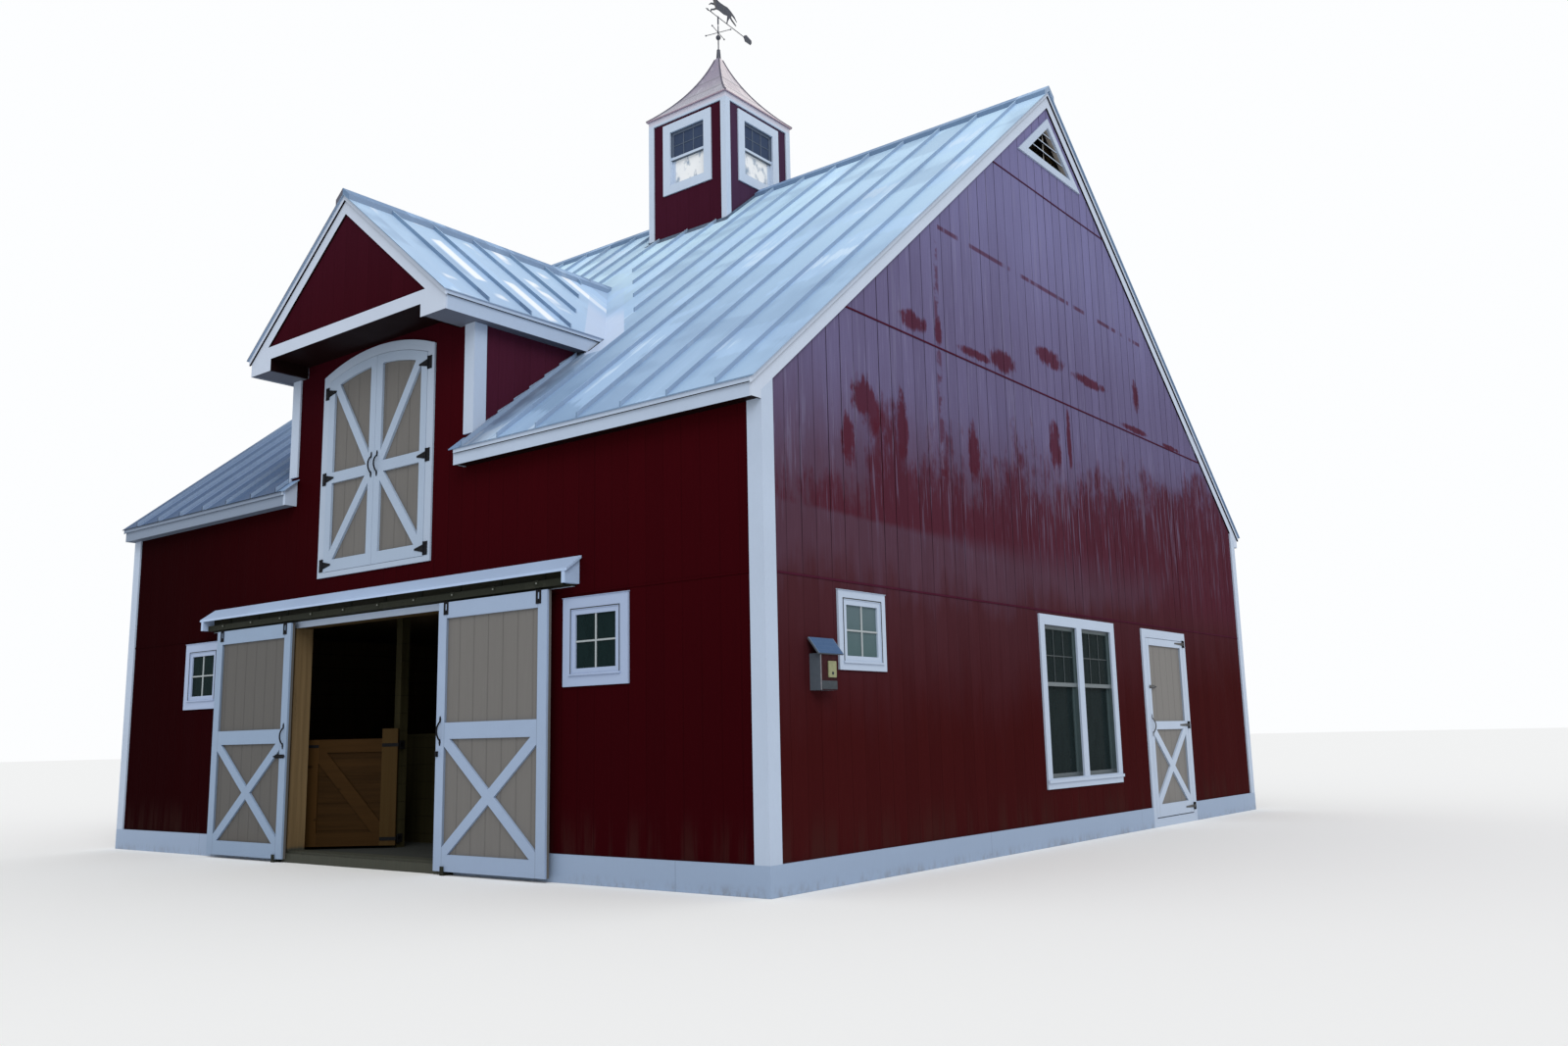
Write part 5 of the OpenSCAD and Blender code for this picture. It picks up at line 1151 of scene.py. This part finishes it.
class BARN_OT_roofs(bpy.types.Operator):
    """Dress the roof sheets, caps and decks, and add the flashings"""

    bl_idname = "barn.roofs"
    bl_label = "Roofs"

    def execute(self, context):
        dress(roof_finish("galvanised_sheet"), "front_roof_metal", "rear_roof_metal")
        dress(roof_finish("cap_sheet", caps=True), "ridge_caps")
        dress(pine_finish("deck_boards", upright=False, tone=0.5),
              "front_roof_left", "front_roof_right", "front_roof_middle", "rear_roof",
              "dormer_roof", "loft_floor")
        self.cupola_flashing(metal_finish(
            "flashing_metal", (0.10, 0.14, 0.20), (0.17, 0.23, 0.32), 12.0))
        self.step_flashing(metal_finish(
            "step_metal", (0.27, 0.38, 0.54), (0.40, 0.52, 0.68), 12.0))
        return {"FINISHED"}

    def cupola_flashing(self, metal):
        """Upstands and aprons where the cupola meets the roof."""
        parts = []
        foot = CUPOLA_EDGE
        low = roof_z(foot)
        fall = 0.06
        for turn in (0, math.pi):
            apron = block("apron", (-foot - 0.04, -foot - fall, low + 0.001),
                          (foot + 0.04, -foot, low + 0.006))
            pick(apron, to_front)
            bpy.ops.transform.translate(value=(0, 0, -fall * SLOPE))
            close_edit()
            stand = block("upstand", (-foot - 0.006, -foot - 0.005, low - 0.01),
                          (foot + 0.006, -foot, low + 0.030))
            parts += [moved(part, Matrix.Rotation(turn, 4, "Z"))
                      for part in (apron, soften(stand, 0.0015, 1))]
        out, up = foot + 0.005, low + 0.012
        for side in (-1, 1):
            for slope in (-1, 1):
                path = [(side * (foot + 0.0045), slope * out, up),
                        (side * (foot + 0.0045), 0, up + out * SLOPE)]
                parts.append(sweep("side_upstand", path, 0.007, 0.034, (0, -slope * SLOPE, 1)))
        finish_piece(join("cupola_flashing", parts), "barn", metal)

    def step_flashing(self, metal):
        """Stepped plates up the dormer's cheeks, behind the roof's upstand."""
        parts = []
        step = 0.20
        for side in (-1, 1):
            for i in range(6):
                y = -WALL_Y + 0.09 + i * step
                z = roof_z(y)
                plate = block("step", (DORMER_HALF + 0.0005, y, z - 0.02),
                              (DORMER_HALF + 0.0035, y + step, z + 0.058))
                pick(plate, lambda normal: normal.y > 0.9)
                bpy.ops.transform.translate(value=(0, 0, step * SLOPE - 0.022))
                close_edit()
                parts.append(moved(plate, Matrix.Diagonal((side, 1, 1, 1))))
        finish_piece(join("cheek_step_flashing", parts), "barn", metal)


def bolt(name, radius, depth):
    """Round-headed bolt along -Y, its foot at the origin."""
    head = rod(name, (0, -depth / 2, 0), radius, depth, "Y", 12)
    pick(head, to_front)
    bpy.ops.mesh.inset(thickness=radius * 0.35)
    bpy.ops.transform.translate(value=(0, -depth * 0.35, 0))
    bpy.ops.mesh.inset(thickness=radius * 0.3)
    bpy.ops.transform.translate(value=(0, -depth * 0.1, 0))
    close_edit()
    only(head)
    bpy.ops.object.shade_smooth_by_angle(angle=math.radians(40))
    return head


class BARN_OT_sliding_doors(bpy.types.Operator):
    """Dress the sliding doors, their track and the doorway, and add bolts"""

    bl_idname = "barn.sliding_doors"
    bl_label = "Sliding Doors"

    def execute(self, context):
        sizes = context.scene.barn_sizes
        dress(metal_finish("track_steel", chosen("track"), (0.030, 0.032, 0.024),
                           roughness=0.7), "door_track")
        dress(pine_finish("doorway_pine", tone=0.85, muddy=True), "doorway_timbers")
        heads = repeat("track_bolts", bolt("bolt", sizes.bolt_radius, 0.006), [
            Matrix.Translation(((i - 4.5) * 0.59, -WALL_Y - 0.128, 2.552)) for i in range(10)])
        finish_piece(heads, "barn", metal_finish(
            "bright_bolts", (0.20, 0.21, 0.19), (0.36, 0.378, 0.342), 80.0, 0.5, 0.3))
        iron = metal_finish("black_ironwork", chosen("iron"), (0.014, 0.014, 0.017), 60.0)
        # Painted shade: the left door's boards and frame are darker than the right's, and both
        # frames a darker white than the trim
        for side, sign, tone, white in (("left", -1, 0.54, (0.245, 0.335, 0.475)),
                                        ("right", 1, 0.82, (0.30, 0.39, 0.545))):
            dress(panel_finish(side + "_door_boards", lambda x, y: abs(x), tone),
                  side + "_door_panel")
            # Joints where the rails meet the stiles
            dress(trim_finish(side + "_door_paint", white, joints=lambda x, y: (
                abs(x) - 1.388, abs(x) - 2.663)), side + "_door_frame")
            dress(iron, side + "_door_hardware")
            body = side + "_sliding_door"
            heads = repeat(body + "_bolts", bolt("bolt", sizes.bolt_radius, 0.006), [
                Matrix.Translation((sign * x, -WALL_Y - 0.122, z))
                for x in (1.378, 2.673) for z in (2.484, 2.394)])
            finish_piece(heads, body, iron)
        return {"FINISHED"}


class BARN_OT_loft_doors(bpy.types.Operator):
    """Dress the arched loft doors and add the screws of their hinges"""

    bl_idname = "barn.loft_doors"
    bl_label = "Loft Doors"

    def execute(self, context):
        iron = metal_finish("loft_ironwork", chosen("iron"), (0.010, 0.011, 0.014), 60.0)
        dress(trim_finish("loft_frame_paint", (0.33, 0.415, 0.54)), "loft_door_frames")
        dress(panel_finish("loft_boards", lambda x, y: abs(x), 0.74), "loft_door_panels")
        dress(iron, "loft_door_hardware")
        # Screws of one hinge: how far out from its knuckle, how high and how proud of the wall
        hinge = ((0.036, 0.045, 0.026), (0.036, -0.045, 0.026), (-0.03, 0.018, 0.028),
                 (-0.03, -0.018, 0.028), (-0.075, 0.0, 0.028), (-0.115, 0.0, 0.028))
        screw = bolt("screw", context.scene.barn_sizes.screw_radius, 0.003)
        heads = repeat("loft_hinge_screws", screw, [
            Matrix.Translation((side * (LOFT_PIN + dx), -WALL_Y - out, z + dz))
            for side in (-1, 1) for z in LOFT_HINGES for dx, dz, out in hinge])
        finish_piece(heads, "barn", iron)
        return {"FINISHED"}


class BARN_OT_walk_door(bpy.types.Operator):
    """Dress the walk door in the gable and its ironwork"""

    bl_idname = "barn.walk_door"
    bl_label = "Walk Door"

    def execute(self, context):
        dress(panel_finish("walk_door_boards", lambda x, y: y), "walk_door_panel")
        dress(trim_finish("walk_door_paint", joints=lambda x, y: (
            y - 1.995, y - 3.049)), "walk_door_frame")
        iron = metal_finish("hinge_ironwork", (0.105, 0.105, 0.105), (0.095, 0.10, 0.11),
                            60.0, 0.5, 0.2)
        dress(iron, "walk_door_hardware")
        dress(metal_finish("gate_ironwork", (0.006, 0.006, 0.007), (0.014, 0.014, 0.015), 60.0),
              "hinge_pins", "gate_hardware")
        screw = bolt("screw", context.scene.barn_sizes.screw_radius, 0.003)
        heads = repeat("walk_hinge_screws", screw, [
            Matrix.Translation((WALL_X + 0.025, WALK_PIN - back, z))
            @ Matrix.Rotation(math.pi / 2, 4, "Z")
            for z in WALK_HINGES for back in (0.06, 0.12, 0.18, 0.235)])
        finish_piece(heads, "walk_door", iron)
        return {"FINISHED"}


class BARN_OT_inside(bpy.types.Operator):
    """Dress the floor, the stall wall and the stall gate"""

    bl_idname = "barn.inside"
    bl_label = "Inside"

    def execute(self, context):
        dress(concrete_finish("floor_concrete"), "floor_slab")
        # Painted shade: the stall wall's pine is a near black brown for the shade inside the barn
        dress(pine_finish("stall_pine", plank=PLANK, wood=(0.029, 0.025, 0.010)), "stall_wall")
        dress(gate_finish("gate_pine", GATE_PIN, GATE_TURN), "stall_gate")
        return {"FINISHED"}


def bell_point(share):
    """Half width and height of the bell-shaped roof at a share of its rise."""
    span = BELL_HALF - BELL_TIP
    bend = 2 * (math.atan2(BELL_H, span) - BELL_FOOT)
    radius = math.hypot(span, BELL_H) / (2 * math.sin(bend / 2))
    turn = BELL_FOOT + bend * share
    return (BELL_HALF - radius * (math.sin(turn) - math.sin(BELL_FOOT)),
            BELL_Z + radius * (math.cos(BELL_FOOT) - math.cos(turn)))


class BARN_OT_cupola(bpy.types.Operator):
    """Dress the cupola's roof and windows, and add its hip ribs and bars"""

    bl_idname = "barn.cupola"
    bl_label = "Cupola"

    def execute(self, context):
        width = context.scene.barn_sizes.rib_width
        dress(bell_finish("bell_copper"), "cupola_roof")
        bell = [bell_point(i / 14 * 0.985) for i in range(15)]
        ribs = [sweep("hip_rib", [(sx * half, sy * half, z) for half, z in bell],
                      width, width * 0.8, (sx, sy, 1.2))
                for sx in (-1, 1) for sy in (-1, 1)]
        finish_piece(join("cupola_hip_ribs", ribs), "barn", metal_finish(
            "rib_metal", (0.11, 0.105, 0.14), (0.20, 0.19, 0.24)))
        fine = lattice("cupola_bars", 0.553, 0.3365, 3, 2, 0.010, HUNG_DEPTH)
        fine = repeat("cupola_window_bars", fine, [
            Matrix.Rotation(math.pi / 2 * i, 4, "Z")
            @ Matrix.Translation((0, -CUPOLA_HALF, CUPOLA_MIDDLE)) for i in range(4)])
        # Painted shade: the bars are dark blue-grey like the shaded upper sashes
        finish_piece(fine, "barn",
                     trim_finish("cupola_bar_paint", (0.10, 0.13, 0.18)))
        return {"FINISHED"}


class BARN_OT_weathervane(bpy.types.Operator):
    """Dress the weathervane and its mast"""

    bl_idname = "barn.weathervane"
    bl_label = "Weathervane"

    def execute(self, context):
        dress(metal_finish("vane_copper", (0.070, 0.075, 0.095), (0.14, 0.13, 0.12),
                           40.0, 0.4, 0.4), "weathervane", "vane_mast")
        return {"FINISHED"}


class BARN_OT_control_box(bpy.types.Operator):
    """Dress the control box on the gable with its small solar panel"""

    bl_idname = "barn.control_box"
    bl_label = "Control Box"

    def execute(self, context):
        dress(control_finish("control_paint"), "solar_box")
        rim = sink(block("box_rim", (5.225, -5.024, 1.530), (5.2285, -4.800, 1.820)),
                   to_right, 0.012, (-0.003, 0, 0))
        tray = soften(block("box_tray", (5.2258, -5.012, 1.536), (5.2325, -4.806, 1.604)), 0.0015)
        edge = soften(block("box_edge", (5.2255, -5.0265, 1.530), (5.2305, -5.0135, 1.822)), 0.0012)
        plate = sink(soften(block("charge_controller", (5.2258, -4.925, 1.630),
                                  (5.240, -4.822, 1.760)), 0.003),
                     to_right, 0.010, (-0.002, 0, 0))
        knob = soften(rod("controller_knob", (5.241, -4.874, 1.664), 0.011, 0.006, "X", 16), 0.0015)
        for piece, paint_name, colour, wear, grain, roughness in (
                (rim, "rim_paint", (0.034, 0.009, 0.012), (0.055, 0.020, 0.022), 30, 0.7),
                (tray, "tray_paint", (0.050, 0.060, 0.070), (0.075, 0.085, 0.10), 30, 0.6),
                (edge, "edge_paint", (0.17, 0.17, 0.19), (0.25, 0.25, 0.28), 30, 0.5),
                (plate, "controller_paint", (0.26, 0.27, 0.16), (0.42, 0.40, 0.24), 22, 0.5),
                (knob, "knob_plastic", (0.020, 0.028, 0.045), (0.04, 0.05, 0.07), 60, 0.4)):
            finish_piece(piece, "barn",
                         metal_finish(paint_name, colour, wear, grain, roughness))
        return {"FINISHED"}


class BARN_OT_stage(bpy.types.Operator):
    """Set the floor, the lights and the camera"""

    bl_idname = "barn.stage"
    bl_label = "Stage"

    def execute(self, context):
        stage = context.scene.barn_stage
        deselect()
        bpy.ops.mesh.primitive_plane_add(size=400, location=(0, 0, -0.001))
        floor = settle("stage_floor")
        floor.data.materials.append(
            Finish("stage_floor").done((0.93, 0.93, 0.925), 0.9, None, 0.0))
        self.sky(stage)
        self.lamp(stage.sun, (0.66, -0.52, 0.62))
        self.camera(stage)
        context.scene.view_settings.view_transform = "Standard"
        return {"FINISHED"}

    def sky(self, stage):
        """Even light from all round, that is bright where it is seen or mirrored."""
        world = bpy.data.worlds.new("studio")
        bpy.context.scene.world = world
        world.use_nodes = True
        sky = Nodes(world.node_tree)
        ray = sky.add("ShaderNodeLightPath", output="Is Camera Ray")
        seen = ray.most(ray.also("Is Glossy Ray")).most(ray.also("Is Transmission Ray"))
        strength = sky.add("ShaderNodeMapRange", inputs={
            "Value": seen, "To Min": stage.sky, "To Max": 1.0})
        background = sky.tree.nodes["Background"]
        plug(sky.tree, (0.98, 0.99, 1), background.inputs["Color"])
        plug(sky.tree, strength, background.inputs["Strength"])

    def lamp(self, strength, toward_lamp):
        """Large soft lamp, high up on the gable's side of the front."""
        bpy.ops.object.light_add(type="SUN", location=(10, -10, 12))
        lamp = bpy.context.object
        lamp.name = "key_lamp"
        lamp.data.energy = strength
        lamp.data.angle = math.radians(35)
        lamp.rotation_euler = Vector(toward_lamp).to_track_quat("Z", "Y").to_euler()

    def camera(self, stage):
        """Camera at the place, with the turns and lens that the panel has."""
        sy, cy = math.sin(stage.yaw), math.cos(stage.yaw)
        forward = Vector((-sy * math.cos(stage.pitch), cy * math.cos(stage.pitch),
                          math.sin(stage.pitch)))
        level = Vector((cy, sy, 0))
        upright = level.cross(forward)
        right = level * math.cos(stage.roll) + upright * math.sin(stage.roll)
        up = -level * math.sin(stage.roll) + upright * math.cos(stage.roll)
        data = bpy.data.cameras.new("camera")
        camera = bpy.data.objects.new("camera", data)
        bpy.context.scene.collection.objects.link(camera)
        turn = Matrix((right, up, -forward)).transposed().to_4x4()
        camera.matrix_world = Matrix.Translation(stage.camera_place) @ turn
        data.lens = stage.lens
        data.sensor_width = 36
        data.clip_end = 200
        bpy.context.scene.camera = camera


OPERATORS = (
    BARN_OT_stage, BARN_OT_siding, BARN_OT_trim, BARN_OT_roofs, BARN_OT_windows,
    BARN_OT_sliding_doors, BARN_OT_loft_doors, BARN_OT_walk_door, BARN_OT_inside,
    BARN_OT_cupola, BARN_OT_weathervane, BARN_OT_control_box,
)


class BARN_PT_panel(bpy.types.Panel):
    """Lists the barn's sizes, colours and pieces"""

    bl_idname = "BARN_PT_panel"
    bl_label = "Timber Barn"
    bl_space_type = "VIEW_3D"
    bl_region_type = "UI"
    bl_category = "Barn"

    def draw(self, context):
        layout = self.layout
        for group in (context.scene.barn_sizes, context.scene.barn_colours,
                      context.scene.barn_stage):
            column = layout.column(align=True)
            for name in group.bl_rna.properties.keys():
                if name not in ("rna_type", "name"):
                    column.prop(group, name)
        for operator in OPERATORS:
            layout.operator(operator.bl_idname)


CLASSES = (BarnSizes, BarnColours, BarnStage, *OPERATORS, BARN_PT_panel)


def register():
    for item in CLASSES:
        bpy.utils.register_class(item)
    bpy.types.Scene.barn_sizes = bpy.props.PointerProperty(type=BarnSizes)
    bpy.types.Scene.barn_colours = bpy.props.PointerProperty(type=BarnColours)
    bpy.types.Scene.barn_stage = bpy.props.PointerProperty(type=BarnStage)


def unregister():
    del bpy.types.Scene.barn_sizes
    del bpy.types.Scene.barn_colours
    del bpy.types.Scene.barn_stage
    for item in reversed(CLASSES):
        bpy.utils.unregister_class(item)


def main():
    register()
    for operator in OPERATORS:
        group, name = operator.bl_idname.split(".")
        getattr(getattr(bpy.ops, group), name)()
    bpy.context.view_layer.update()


if __name__ == "__main__":
    main()
